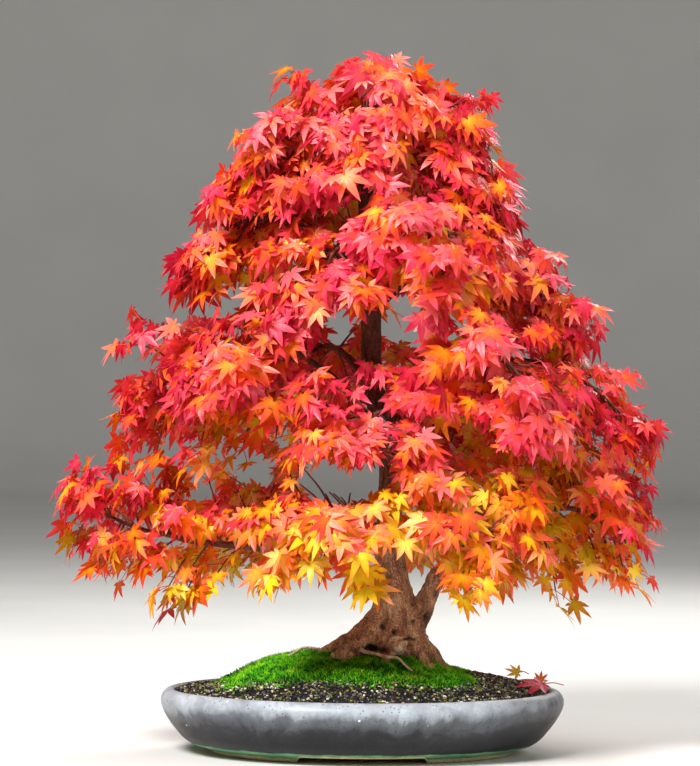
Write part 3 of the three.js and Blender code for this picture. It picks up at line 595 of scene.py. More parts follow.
def buildSoil():
    # the body that fills the pot: its underside and wall follow the pot's inside, with a thin gap,
    # and its top is the ground, lower under the moss and rough outside it
    around = soil["around"]
    angle = np.arange(around) / around * 2 * math.pi
    wall = cutCorners(np.array(soil["wall"]), 1)
    under = ovalRing(wall[:, :1], wall[:, 1:], angle[None])
    shares = np.linspace(0.995, 0.02, soil["rings"])[:, None]
    x, y = groundPlace(angle[None], shares)
    place = np.stack([x, y, np.zeros_like(x)], axis=-1)
    share = np.broadcast_to(shares, x.shape) / mossEdge(angle)[None]
    below = lerp(ground["mossThick"], ground["mossThin"], smoothStep(share, 0.75, 1)) + 0.8
    covered = 1 - smoothStep(share, 0.97, 1.04)
    height = groundHeight(x, y) - below * covered - 0.4
    height += (0.9 * noise(place, 4, 2) + 0.6 * noise(place, 9, 4)) * (1 - covered)
    top = np.stack([x, y, height], axis=-1)
    first = np.broadcast_to(np.array([0, 0, soil["floor"]]), (1, around, 3))
    last = np.broadcast_to(np.array([0, 0, height[-1].mean()]), (1, around, 3))
    rows = np.concatenate([first, under, top, last])
    paint = gritMaterial()
    settle(newPiece("soilFill", [ringed(rows, tint=0.1)], [paint]), "grit", "soil")
    strewGrit(paint)


# the moss: cushions that carry small shoots
moss = {
    "around": 260, "rings": 90,  # steps of the mound
    "deep": 4.5,  # how far its underside lies below the ground
    "cushions": ((1.9, 17), (1.5, 8), (0.8, 3.6)),  # height and width of each size
    "trench": 3.6,  # how deep it parts along the thin root in front
    # shoots: how many, height from short to tall, half width, how deep they are sunk
    "shoots": 34000, "short": 1.5, "tall": 4.4, "wide": 0.74, "sunk": 0.9,
    "stops": [(0.0, "#0b2503"), (0.2, "#1c5a05"), (0.42, "#3a960a"), (0.62, "#5ebb12"),
              (0.8, "#92d622"), (0.92, "#c6e43c"), (1.0, "#ece066")],
}


def mossTop(x, y, share):
    # the ground plus cushions of three sizes, falling to the soil over the last tenth of the way,
    # less a trench along the thin root in front
    place = np.stack([x, y, np.zeros_like(x)], axis=-1)
    cushions = sum(tall * noise(place, wide, 21 + k)
                   for k, (tall, wide) in enumerate(moss["cushions"]))
    edge = smoothStep(1 - share, 0, 0.1)
    course = throughPoints(wood["thinRoots"][0][0], 24)
    away = np.min(np.hypot(x[..., None] - course[:, 0], y[..., None] - course[:, 1]), axis=-1)
    trench = moss["trench"] * np.exp(-(away / 6) ** 2)
    return groundHeight(x, y) + (cushions + 0.9) * lerp(0.35, 1, edge) - 2.2 * (1 - edge) - trench


def mossMaterial():
    # tint is the tone: low at a shoot's foot and in the mound, as painted shade between the shoots,
    # high at its tip
    material, tree, shader = newMaterial("cushionMoss", Specular_IOR_Level=0.15)
    place = objectPlace(tree)
    patches = grain(tree, place, 42, 3)
    fine = grain(tree, place, 900, 4, 0.6)
    factor = sums(tree, "ADD", tintOf(tree), scaled(tree, patches, 0.5, -0.25))
    factor = sums(tree, "ADD", factor, scaled(tree, fine, 0.3, -0.15), clamp=True)
    paintShader(tree, shader, ramp(tree, factor, moss["stops"]),
                ramp(tree, fine, [(0.3, 0.65), (0.7, 0.92)]))
    bump(tree, shader, fine, 0.5, 0.0008)
    return material


def mossMound():
    # rings from the moss's ragged edge inwards, closed by an underside that lies in the soil
    angle = np.arange(moss["around"]) / moss["around"] * 2 * math.pi
    circle = np.stack([np.cos(angle) * 60, np.sin(angle) * 60, angle * 0], -1)
    ragged = 1 + 0.025 * noise(circle, 5, 8)
    shares = np.linspace(1, 0.02, moss["rings"])[:, None]
    x, y = groundPlace(angle[None], shares * (mossEdge(angle) * ragged)[None])
    top = np.stack([x, y, mossTop(x, y, np.broadcast_to(shares, x.shape))], axis=-1)
    under = top[[-1, 60, 30, 0]].copy()
    under[..., 2] = groundHeight(under[..., 0], under[..., 1]) - moss["deep"]
    middle = [np.broadcast_to(np.array([0, 0, z]), (1, moss["around"], 3))
              for z in (under[0, :, 2].mean(), top[-1, :, 2].mean())]
    # the mound under the shoots is painted dark, as shade between them
    return ringed(np.concatenate([middle[0], under, top, middle[1]]), tint=0.1)


def mossShoots():
    # spikes spread evenly over the mound, each four-sided and leaning its own way
    count = moss["shoots"]
    seeds = np.arange(count) + 1.0
    angle, share = draw(seeds, 31) * 2 * math.pi, np.sqrt(draw(seeds, 32)) * 1.01
    x, y = groundPlace(angle, share * mossEdge(angle))
    root = np.stack([x, y, mossTop(x, y, np.minimum(share, 1)) - moss["sunk"]], axis=-1)
    clump, patch = noise(root, 4.5, 25), noise(root, 13, 26)
    tall = lerp(moss["short"], moss["tall"], draw(seeds, 33)) * (1 + 0.5 * clump)
    lean = np.stack([0.9 * swing(seeds, 34), 0.9 * swing(seeds, 35), np.ones(count)], axis=-1)
    tip = root + unit(lean) * (tall + moss["sunk"])[:, None]
    turn = draw(seeds, 36)[:, None] * 2 * math.pi + np.arange(3)[None] * 2 * math.pi / 3
    wide = moss["wide"] * lerp(0.7, 1.3, draw(seeds, 37))[:, None]
    foot = root[:, None] + np.stack([np.cos(turn) * wide, np.sin(turn) * wide, turn * 0], axis=-1)
    points = np.concatenate([foot, tip[:, None]], axis=1).reshape(-1, 3)
    faces = np.array([(0, 1, 3), (1, 2, 3), (2, 0, 3), (0, 2, 1)])
    faces = (faces[None] + 4 * np.arange(count)[:, None, None]).reshape(-1, 3)
    # each shoot is painted darker at its foot, as shade among the shoots, and paler at its tip
    shade = 0.46 + 0.24 * clump + 0.16 * patch + 0.18 * swing(seeds, 38)
    tint = np.stack([shade - 0.32, shade - 0.32, shade - 0.32, shade + 0.26], axis=-1).ravel()
    return {"points": points, "faces": [faces], "tint": tint}


def buildMoss():
    # the mound and its shoots are one piece
    piece = newPiece("mossMound", [mossMound(), mossShoots()], [mossMaterial()])
    settle(piece, "moss", "moss")
    print("moss grown,", moss["shoots"], "shoots")


# the wood: trunk, roots and the first part of each branch, grown into one skin
wood = {
    "steps": 210, "sides": 48,  # of the trunk's tube
    # the trunk's line and girth, from under the soil to the leader's tip: x, y, z, radius
    "trunk": [(26, 2, 62, 26), (28, 2, 84, 33), (30, 1, 102, 34), (31, 0, 118, 28.5),
              (32, 0, 136, 23.5), (31.5, 0, 155, 20.5), (28.5, 0, 178, 16.6), (26, 1, 205, 14.4),
              (26, 2, 235, 13), (27, 2, 268, 12.2), (25.5, 1, 302, 11.6), (18, 0, 335, 11.2),
              (10, -1, 367, 10.8), (6.5, -1, 400, 10.4), (6.5, 0, 432, 10), (7, 1, 462, 9),
              (4, 2, 500, 7.4), (-1, 2, 540, 5.8), (-3, 1, 578, 4.6), (-4, 0, 612, 3.6),
              (-1, 0, 645, 2.6), (3, 0, 668, 1.9)],
    "flutes": [(0.05, 5, 0.6), (0.03, 9, 2)],  # depth, number round the trunk's foot, turn
    # surface roots: direction, how far they show, thickness at both ends
    "roots": [(184, 84, 15, 4.5), (222, 78, 12, 4), (262, 58, 11, 4), (312, 68, 12, 4),
              (356, 62, 14, 5), (45, 66, 12, 4), (96, 72, 12, 4), (142, 76, 12, 4)],
    # a small root that breaks away over the moss in front, then the burl and the knob beside it:
    # their lines and the thickness at both ends
    "smallRoots": [([(-6, -22, 116), (-13, -35, 112), (-20, -44, 108.5), (-30, -51, 103)],
                    6.2, 3.4)],
    "knobs": [([(34, -20, 120), (35, -33, 115.5), (35.5, -41, 109)], 9.5, 7),
              ([(14, -22, 113), (16, -30, 109), (17, -33, 105)], 6, 4)],
    # thin pale roots over the moss
    "thinRoots": [([(-6, -26, 110), (2, -38, 107.5), (13, -46, 106), (24, -57, 104), (36, -68, 101),
                    (48, -80, 93)], 2.2, 1.0),
                  ([(-44, -10, 106.5), (-54, -14, 107.6), (-62, -16, 107.4), (-74, -20, 101)],
                   1.7, 1.1)],
    # hollows in front: x, z, half width, half height, depth
    "hollows": [(19.5, 132, 2.0, 2.2, 3.0), (30.5, 127, 1.9, 2.0, 2.8), (50, 136, 2.0, 1.6, 1.6),
                (63, 139, 2.4, 3.6, 3.0), (12, 110, 15, 3.4, 3.6), (46, 120, 8, 1.3, 1.6)],
    "burl": (35, -38, 113),  # the middle of its rings
    # the old low limb's foot: x, y, z, radius, up to the share of its arch where it joins
    "limb": [(40, 0, 112, 15), (48, -1, 128, 14), (56, -2, 143, 12.4), (63, -3, 157, 11),
             (69, -4, 170, 10), (77, -5, 183, 9)],
    "limbFrom": 0.24,
    "voxel": 1.5,  # the size of the grid that fuses the forms
}
bark = {
    "streaks": [(0.22, "#54382a"), (0.38, "#98705a"), (0.54, "#d0ad92"), (0.7, "#f2d8b8"),
                (0.88, "#fdeecf")],
    "blotches": [(0.25, "#806a5e"), (0.5, "#bcb6b0"), (0.78, "#e8dccc")],
    # patches a few millimetres wide, some reddish, some olive
    "patches": [(0.34, "#7c5c4c"), (0.46, "#b6aaa0"), (0.56, "#b8b29a"), (0.68, "#e6d8b2")],
    "flecks": [(0.32, "#6c5e58"), (0.5, "#b4aca6"), (0.68, "#f2e8d8")],  # pale lichen, and grey
    "furrow": "#3a261b", "damp": "#5f6a2a", "young": "#6e2d1f", "reddens": 0.85,
    # the hollow stops are painted shade: the dark inside of holes in the bark
    "pale": [(0.3, "#c29c72"), (0.7, "#fff2d2")], "hollowShade": [(0.3, "#120b08"), (0.7, "#2a1b14")],
}
# tiers of branches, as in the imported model: girth at the trunk, side shoots, their length, how far
# branches are raised in turn, directions; then for each side attach, reach, arch and tip
tiers = [
    ("low", 7.5, 12, 74, -4, (-6, -58, -116, 183, 128, 62),
     (145, 242, 294, 226), (210, 160, 276, 224), (215, 308, 194, 244), (206, 190, 268, 206)),
    ("middle", 6, 10, 68, 20, (6, -46, -98, -148, 172, 118, 60),
     (338, 262, 488, 346), (312, 150, 402, 322), (300, 252, 460, 380), (345, 184, 440, 346)),
    ("upper", 4.6, 10, 62, 18, (0, -54, -114, 178, 122, 58),
     (447, 196, 576, 458), (440, 126, 584, 464), (452, 188, 584, 474), (470, 144, 575, 480)),
    ("top", 3.2, 6, 50, 12, (-10, 58, 122, 192),
     (564, 142, 640, 566), (560, 110, 634, 566), (556, 132, 640, 566), (556, 116, 634, 570)),
    ("crown", 2.3, 6, 40, 6, (-88, -18, 52, 124, 196),
     (608, 116, 674, 613), (602, 76, 675, 609), (608, 90, 674, 613), (612, 80, 674, 615)),
    ("apex", 1.9, 6, 34, 0, (70,),
     (650, 22, 665, 666), (650, 22, 665, 666), (650, 22, 665, 666), (650, 22, 665, 666)),
]
stubShare = 0.4  # the share of a branch that is part of the trunk's own piece


def trunkAt(height):
    # the trunk's middle at a height, between the points of its line
    rows = np.array(wood["trunk"], float)
    height = np.clip(height, rows[0, 2], rows[-1, 2])
    return np.stack([np.interp(height, rows[:, 2], rows[:, 0]),
                     np.interp(height, rows[:, 2], rows[:, 1]), height], axis=-1)


def branchList():
    # each branch is a curve out from the trunk; its measures are weighed between its tier's sides,
    # ends x cos^2 + faces x sin^2 of its direction, then varied a little
    found = []
    for level, (name, girth, shoots, shootLength, stagger, azimuths, *sides) in enumerate(tiers):
        right, front, left, back = (np.array(side, float) for side in sides)
        for turn, azimuth in enumerate(azimuths):
            seed = level * 10 + turn
            out = np.array([math.cos(azimuth * degrees), math.sin(azimuth * degrees), 0])
            ends, faces = (right if out[0] > 0 else left), (back if out[1] > 0 else front)
            attach, reach, arch, tipHeight = ends * out[0] ** 2 + faces * out[1] ** 2
            lift = stagger * (1 if turn % 2 else -1)
            start = trunkAt(attach + 5 * swing(seed, 1) + 0.4 * lift)
            reach *= 1 + 0.05 * swing(seed, 2)
            control, tip = start + out * reach * 0.56, start + out * reach
            control[2] = arch + lift
            tip[2] = tipHeight + 8 * swing(seed, 3) + lift
            found.append({"name": f"{name}_{turn + 1:02d}", "tier": name, "seed": seed,
                          "girth": girth, "shoots": shoots, "shootLength": shootLength,
                          "points": (start, control, tip)})
    return found


branches = branchList()


def branchRadius(branch, share):
    # girth at the trunk down to 1.3 at the tip, by share^0.7
    return lerp(branch["girth"], 1.3, share**0.7)


def branchPath(branch, low, high, steps):
    # the branch's arch with a slight wander that is nothing at its ends and at the stub's end
    share = np.linspace(low, high, steps)[:, None]
    path = bezier(*branch["points"], share)
    calm = np.sin(math.pi * (share - low) / (high - low))
    length = np.linalg.norm(branch["points"][2] - branch["points"][0])
    sway = np.stack([noise(path + branch["seed"] * 31, 26, k) for k in range(3)], axis=-1)
    return path + sway * calm * length * 0.014, share[:, 0]


def barkMaterial():
    # tint: above 0 in hollows, which are painted nearly black as shade inside them, below 0 on pale
    # wood
    material, tree, shader = newMaterial("mapleBark", Specular_IOR_Level=0.3)
    place = objectPlace(tree)
    height = addNode(tree, "SeparateXYZ", {"Vector": place}).outputs["Z"]
    streaks = grain(tree, objectPlace(tree, (1, 1, 0.28)), 150, 7, 0.65, 0.6)
    blotches = grain(tree, place, 38, 4, 0.6, 0.3)
    net = addNode(tree, "TexVoronoi", {"Vector": objectPlace(tree, (1, 1, 0.6)), "Scale": 420.0},
                  feature="DISTANCE_TO_EDGE").outputs["Distance"]
    scales = grain(tree, objectPlace(tree, (1, 1, 0.6), (0.2, 0.7, 0.1)), 210, 3, 0.6, 0.4)
    flecks = grain(tree, objectPlace(tree, (1, 1, 0.7)), 620, 3, 0.7)
    colour = ramp(tree, streaks, bark["streaks"])
    for field, stops in ((blotches, "blotches"), (scales, "patches"), (flecks, "flecks")):
        colour = overlay(tree, 0.6, colour, ramp(tree, field, bark[stops]))
    furrow = sums(tree, "LESS_THAN", net, 0.06)
    colour = blendColours(tree, times(tree, furrow, 0.35), colour, paintOf(bark["furrow"]))
    # the wood reddens and darkens towards the young growth, over 160 mm from 156 mm up
    young = scaled(tree, height, 1 / 0.16, -0.156 / 0.16, clamp=True)
    colour = blendColours(tree, times(tree, young, bark["reddens"]), colour,
                          paintOf(bark["young"]), "MULTIPLY")
    # a little green where it stands in the moss
    damp = scaled(tree, height, -1 / 0.03, 0.114 / 0.03, clamp=True)
    damp = times(tree, damp, sums(tree, "GREATER_THAN", blotches, 0.52))
    colour = blendColours(tree, times(tree, damp, 0.45), colour, paintOf(bark["damp"]))
    mark = tintOf(tree)
    pale = times(tree, times(tree, mark, -0.75), 1.0, clamp=True)
    colour = blendColours(tree, pale, colour, ramp(tree, streaks, bark["pale"]))
    # painted shade: hollows darkened nearly to black
    hollowShade = times(tree, mark, 0.9, clamp=True)
    colour = blendColours(tree, hollowShade, colour, ramp(tree, streaks, bark["hollowShade"]))
    paintShader(tree, shader, colour, ramp(tree, streaks, [(0.3, 0.8), (0.75, 0.52)]))
    relief = sums(tree, "ADD", streaks, times(tree, net, 1.6))
    relief = scaled(tree, flecks, 0.7, relief)
    bump(tree, shader, relief, 0.9, 0.0022)
    return material


def rootForm(points, thick, thin, seed, steps=26, sides=14):
    # a root along a curve through its points, with a wander and knuckles
    path = throughPoints(points, steps)
    share = np.linspace(0, 1, steps)
    sway = np.stack([noise(path + seed * 17, 14, k) for k in range(3)], axis=-1)
    path = path + sway * (np.sin(math.pi * share) * 2.4)[:, None]
    girth = lerp(thick, thin, share**0.8) * (1 + 0.12 * noise(path + seed * 5, 11, 4))
    return tubes(path[None], girth[None], sides)


def trunkForm():
    # the trunk's tube: its girth x (1 + flutes that fade upwards), and a slight unevenness
    rows = throughPoints(wood["trunk"], wood["steps"])
    angle = np.arange(wood["sides"]) / wood["sides"] * 2 * math.pi
    path, girth = rows[:, :3], rows[:, 3]
    low = 1 - smoothStep(path[:, 2], 110, 190)
    fluting = sum(deep * np.sin(angle * count + turn) for deep, count, turn in wood["flutes"])
    skin = np.stack(np.broadcast_arrays(np.cos(angle)[None] * 30, np.sin(angle)[None] * 30,
                                        path[:, 2:]), axis=-1)
    girths = girth[:, None] * (1 + fluting[None] * low[:, None]) + 0.5 * noise(skin, 16, 6)
    return tubes(path[None], girths[None], wood["sides"])


def rootForms():
    # surface roots leave the trunk high, bend down onto the ground and dip into it
    forms = []
    foot = trunkAt(100)
    for number, (azimuth, reach, thick, thin) in enumerate(wood["roots"]):
        out = np.array([math.cos(azimuth * degrees), math.sin(azimuth * degrees), 0])
        start = trunkAt(142) + 7 * out
        bend, end = foot + out * reach * 0.52, foot + out * reach
        bend[2] = groundHeight(bend[0], bend[1]) + thick * 0.55
        end[2] = groundHeight(end[0], end[1]) - thin * 1.4 - 1.5
        curve = bezier(start, bend, end, np.linspace(0, 1, 6)[:, None])
        forms.append(rootForm(curve, thick, thin, number))
    for number, (points, thick, thin) in enumerate(wood["smallRoots"]):
        forms.append(rootForm(points, thick, thin, 21 + number))
    for number, (points, thick, thin) in enumerate(wood["knobs"]):
        forms.append(rootForm(points, thick, thin, 24 + number, 12))
    return forms


def stubForm(branch):
    # the first part of a branch, with a collar where it leaves the trunk
    path, share = branchPath(branch, 0, stubShare, 30)
    girth = branchRadius(branch, share)
    if branch["name"] == "low_01":  # the old low limb: stout and knobbly, it leaves steeply
        rest = np.column_stack([path, girth])[share > wood["limbFrom"]]
        rows = throughPoints(np.vstack([wood["limb"], rest]), 60)
        path, girth = rows[:, :3], rows[:, 3] * (1 + 0.1 * noise(rows[:, :3], 12, 9))
    else:
        girth = girth + branch["girth"] * 0.45 * (1 - smoothStep(share, 0, 0.07))
    return tubes(path[None], girth[None], 12)


def carveBark(mesh):
    # each point moves along its normal by the bark's depth: ridges that run with the grain and
    # lumps, less the hollows left by old twigs, plus the rings of the burl
    count = len(mesh.vertices)
    points, normals = np.empty(count * 3, np.float32), np.empty(count * 3, np.float32)
    mesh.vertices.foreach_get("co", points)
    mesh.vertex_normals.foreach_get("vector", normals)
    points, normals = points.reshape(-1, 3), normals.reshape(-1, 3)
    place = (points - potMiddle) * 1000
    fromAxis = np.linalg.norm(place[:, :2] - trunkAt(place[:, 2])[:, :2], axis=-1)
    stout = smoothStep(fromAxis, 3, 12)
    low = 1 - smoothStep(place[:, 2], 130, 330)
    ridges = noise(place * [1, 1, 0.22], 3.4, 31) * 0.9 + noise(place * [1, 1, 0.35], 7, 32) * 1.1
    lumps = 1.2 * noise(place * [1, 1, 0.7], 12, 36) + 0.7 * noise(place, 4.6, 37)
    depth = (ridges * lerp(0.25, 0.7, low) * lerp(0.6, 1, stout)
             + (0.5 * noise(place, 2.6, 33) + lumps * stout) * low)
    front, tint = place[:, 1] < -4, np.zeros(count)
    for x, z, wide, tall, deep in wood["hollows"]:
        near = ((place[:, 0] - x) / wide) ** 2 + ((place[:, 2] - z) / tall) ** 2
        bell = np.exp(-near * (1 + 0.5 * noise(place, 2.2, 35))) * front
        depth = depth - deep * bell
        # the hollows get a tint that paints shade into them
        tint = np.maximum(tint, np.minimum(1, 1.6 * bell))
    # the burl's rings and its pale wood
    burl = np.linalg.norm(place - wood["burl"], axis=-1)
    rings = np.sin(burl * 1.45) * (1 - smoothStep(burl, 9, 17)) * (place[:, 1] < -12)
    depth = depth + 1.3 * rings
    pale = 1.2 * (1 - smoothStep(burl + 2 * noise(place, 3, 38), 7.5, 12.5))
    tint = tint - pale * (1 - tint) * (0.7 + 0.6 * rings)
    points = points + normals * (depth / 1000)[:, None]
    mesh.vertices.foreach_set("co", points.astype(np.float32).ravel())
    mesh.polygons.foreach_set("use_smooth", np.full(len(mesh.polygons), True))
    attribute = mesh.attributes.new("tint", "FLOAT", "POINT")
    attribute.data.foreach_set("value", tint.astype(np.float32))
    mesh.update()


def buildWood():
    # the forms are fused on a fine grid and eased, then the bark is carved
    paint = barkMaterial()
    forms = [trunkForm()] + rootForms() + [stubForm(branch) for branch in branches]
    piece = newPiece("trunkWood", forms, [paint])
    fuse = piece.modifiers.new("Fuse", "REMESH")
    fuse.mode, fuse.voxel_size = "VOXEL", wood["voxel"] / 1000 * 1
    ease = piece.modifiers.new("Ease", "SMOOTH")
    ease.factor, ease.iterations = 0.5, 3
    mesh = finalMesh(piece)
    carveBark(mesh)
    mesh.materials.clear()
    mesh.materials.append(paint)
    settle(piece, "bark", "trunk")
    thin = [{**rootForm(points, thick, end, 31 + number, 40, 12), "tint": -1.3}
            for number, (points, thick, end) in enumerate(wood["thinRoots"])]
    settle(newPiece("thinRoots", thin, [paint]), "bark")
    print("wood fused,", len(mesh.polygons), "faces")


# the leaf: one flat pattern, bent anew for each leaf
leaf = {
    "length": 23, "stalk": 15, "stalkGirth": 0.42,
    # lobes from the right of the blade's base round to its left: direction and length
    "lobes": [(-124, 0.40), (-84, 0.74), (-41, 0.94), (0, 1.0), (41, 0.94), (84, 0.74),
              (124, 0.40)],
    "notch": 0.37, "belly": 0.15, "neck": 0.088,  # depth of the cuts, half widths of a lobe
    # from yellow to crimson
    "stops": [(0.0, "#ffdc24"), (0.16, "#ffbe14"), (0.32, "#ff9812"), (0.46, "#ff7418"),
              (0.6, "#ff5628"), (0.74, "#ff4a44"), (0.88, "#ff4660"), (1.0, "#e2244a")],
    # the pale stop is a painted highlight: the pale-pink sheen of light on lobe tips
    "rib": "#ffc27a", "pale": "#ffaa98",
    # depth is painted shade: each leaf is darkened by its own draw, as if in shadow
    "depth": [(0.0, 0.56), (0.3, 0.88), (1.0, 1.0)],  # how bright a leaf is, by its own draw
    "through": 0.26,  # the share of light that comes through
}


def leafPattern():
    # the flat leaf as points (along, aside), each with its share out along a lobe and its distance
    # from the lobe's rib, and faces; a lobe is a lance: its rib, a belly, a neck and a tip
    lobes = leaf["lobes"]
    points, out, off, number = [(0.0, 0.0)], [0.0], [0.0], [-1]

    def put(angle, length, along, aside, lobe):
        # adds a point: along x length on the lobe's rib, and aside from it to the left
        ahead = np.array([math.cos(angle * degrees), math.sin(angle * degrees)])
        left = np.array([-ahead[1], ahead[0]])
        points.append(tuple(ahead * along * length + left * aside))
        out.append(along)
        off.append(abs(aside) / leaf["belly"])
        number.append(lobe)
        return len(points) - 1

    cuts = [put(lobes[0][0] - 24, 1, 0.12, 0, 0)]
    for i in range(len(lobes) - 1):
        reach = leaf["notch"] * min(lobes[i][1], lobes[i + 1][1]) ** 0.8
        cuts.append(put((lobes[i][0] + lobes[i + 1][0]) / 2, 1, reach, 0, i))
        off[-1] = 0.8
    cuts.append(put(lobes[-1][0] + 24, 1, 0.12, 0, len(lobes) - 1))
    off[cuts[0]] = off[cuts[-1]] = 0.8
    quads, triangles = [], []
    for i, (angle, length) in enumerate(lobes):
        belly, neck = leaf["belly"] * length**0.6, leaf["neck"] * length**0.6
        rib, ribFar = put(angle, length, 0.42, 0, i), put(angle, length, 0.72, 0, i)
        right, left = put(angle, length, 0.46, -belly, i), put(angle, length, 0.46, belly, i)
        rightFar, leftFar = put(angle, length, 0.74, -neck, i), put(angle, length, 0.74, neck, i)
        tip = put(angle, length, 1.0, 0, i)
        quads += [(0, cuts[i], right, rib), (0, rib, left, cuts[i + 1]),
                  (rib, right, rightFar, ribFar), (rib, ribFar, leftFar, left)]
        triangles += [(ribFar, rightFar, tip), (ribFar, tip, leftFar)]
    return (np.array(points), np.array(out), np.array(off), np.array(number), np.array(quads),
            np.array(triangles))


leafShape = leafPattern()


def blades(base, ahead, face, size, seeds, tint, limp=1.0, **extra):
    # every leaf: base + size (along ahead + aside side + lift face); lift is a fold along each rib,
    # less a droop that grows with the square of the distance, and each lobe's own curl
    flat, out, off, lobe, quads, triangles = leafShape
    side = np.cross(face, ahead)
    far = np.linalg.norm(flat, axis=-1)
    droop = lerp(0.0, 0.3, draw(seeds, 41)) * limp
    fold = lerp(0.04, 0.2, draw(seeds, 42))
    curl = 0.22 * swing(seeds[:, None], lobe[None], 43) * far[None] ** 2
    lift = fold[:, None] * (off * leaf["belly"])[None] - droop[:, None] * far[None] ** 2 + curl
    narrow = lerp(0.82, 1.08, draw(seeds, 44))[:, None]
    points = base[:, None] + size[:, None, None] * (
        flat[None, :, :1] * ahead[:, None] + (flat[None, :, 1] * narrow)[..., None] * side[:, None]
        + lift[..., None] * face[:, None])
    count, corners = len(base), len(flat)
    start = corners * np.arange(count)[:, None, None]
    faces = [(quads[None] + start).reshape(-1, 4), (triangles[None] + start).reshape(-1, 3)]
    detail = np.stack(np.broadcast_arrays(out[None], off[None], draw(seeds, 45)[:, None]), axis=-1)
    return {"points": points.reshape(-1, 3), "faces": faces, "tint": np.repeat(tint, corners),
            "detail": detail.reshape(-1, 3), **extra}


def leafMaterial(name):
    # tint is 0 in a yellow leaf and 1 in a crimson one; detail holds the share out along the lobe,
    # the distance from its rib and the leaf's own draw
    material, tree, shader = newMaterial(name, Specular_IOR_Level=0.42, Coat_Weight=0.06,
                                         Coat_Roughness=0.4)
    detail = addNode(tree, "Attribute", attribute_name="detail").outputs["Vector"]
    out, off, own = addNode(tree, "SeparateXYZ", {"Vector": detail}).outputs
    place = objectPlace(tree)
    mottle = grain(tree, place, 75, 4, 0.6)
    fine = grain(tree, place, 520, 4, 0.6)
    warm = scaled(tree, out, 0.46, -0.2)
    warm = sums(tree, "ADD", warm, scaled(tree, mottle, 0.34, -0.17))
    warm = sums(tree, "ADD", warm, scaled(tree, fine, 0.14, -0.07))
    warm = sums(tree, "ADD", warm, tintOf(tree), clamp=True)
    colour = ramp(tree, warm, leaf["stops"])
    # the ribs are a little paler, and fine side veins leave them forwards
    rib = sums(tree, "SUBTRACT", 1.0, times(tree, off, 6.0), clamp=True)
    slant = sums(tree, "SUBTRACT", out, times(tree, off, 0.16))
    veins = sums(tree, "GREATER_THAN", sums(tree, "SINE", times(tree, slant, 75.0)), 0.93)
    lines = sums(tree, "ADD", times(tree, rib, 0.5), times(tree, veins, 0.16), clamp=True)
    colour = blendColours(tree, times(tree, lines, 0.55), colour, paintOf(leaf["rib"]),
                          "SOFT_LIGHT")
    # some leaves pale towards their tips, a painted pale-pink highlight for the sheen of light on
    # them, and each leaf is darkened by its own draw, as painted shade
    pale = times(tree, scaled(tree, own, 3.4, -2.4, clamp=True), scaled(tree, out, 0.46, 0.12))
    colour = blendColours(tree, pale, colour, paintOf(leaf["pale"]))
    # painted shade: each leaf darkened by its own draw
    colour = blendColours(tree, 1.0, colour, ramp(tree, own, leaf["depth"]), "MULTIPLY")
    paintShader(tree, shader, colour, scaled(tree, fine, 0.22, 0.26))
    relief = sums(tree, "SUBTRACT", fine, times(tree, lines, 1.4))
    normal = bump(tree, shader, relief, 0.35, 0.0005)
    # light from behind shows through
    glow = addNode(tree, "BsdfTranslucent", {"Color": colour, "Normal": normal})
    mixed = addNode(tree, "MixShader", {0: leaf["through"], 1: shader.outputs[0],
                                        2: glow.outputs[0]})
    tree.links.new(mixed.outputs[0], tree.nodes["Material Output"].inputs["Surface"])
    return material


def twigMaterial(name, dark, light):
    # one hue from dark to light in fine streaks
    material, tree, shader = newMaterial(name, Specular_IOR_Level=0.4)
    streaks = grain(tree, objectPlace(tree), 240, 5, 0.6)
    paintShader(tree, shader, ramp(tree, streaks, [(0.3, dark), (0.7, light)]),
                ramp(tree, streaks, [(0.3, 0.7), (0.7, 0.45)]))
    bump(tree, shader, streaks, 0.5, 0.0006)
    return material


def leafPlaces(anchor, twigAhead, hand, seeds):
    # how each leaf hangs: its stalk leaves the twig to one side, its face looks outwards and up,
    # and its middle lobe hangs down, each a weighted sum of directions
    turn = lambda k: swing(seeds, k, 0)[:, None]
    middle = trunkAt(anchor[:, 2])
    away = unit((anchor - middle) * [1, 1, 0])
    outward = unit(away * 0.75 + twigAhead * [0.45, 0.45, 0])
    right = unit(np.cross(twigAhead, [0, 0, 1.0]) + 1e-6)
    across = right * hand[:, None]
    up = np.array([0, 0, 1.0])
    sideways = np.cross(up, outward)
    stalk = unit(across * 0.8 + twigAhead * (0.55 + 0.4 * turn(1)) + outward * 0.2
                 + up * (0.25 + 0.45 * turn(2)))
    base = anchor + stalk * leaf["stalk"] * (1 + 0.4 * turn(3))
    jitter = np.concatenate([turn(4), turn(5), turn(6)], axis=1)
    face = unit(outward * 0.72 + up * 0.58 + across * 0.15 + sideways * 0.5 * turn(9)
                + jitter * 0.42)
    ahead = outward * 0.36 - up * 0.78 + sideways * 0.85 * turn(7) + stalk * 0.34
    ahead = unit(ahead - face * np.sum(ahead * face, axis=1, keepdims=True))
    size = leaf["length"] * (1 + 0.28 * swing(seeds, 20))
    return base, face, ahead, size


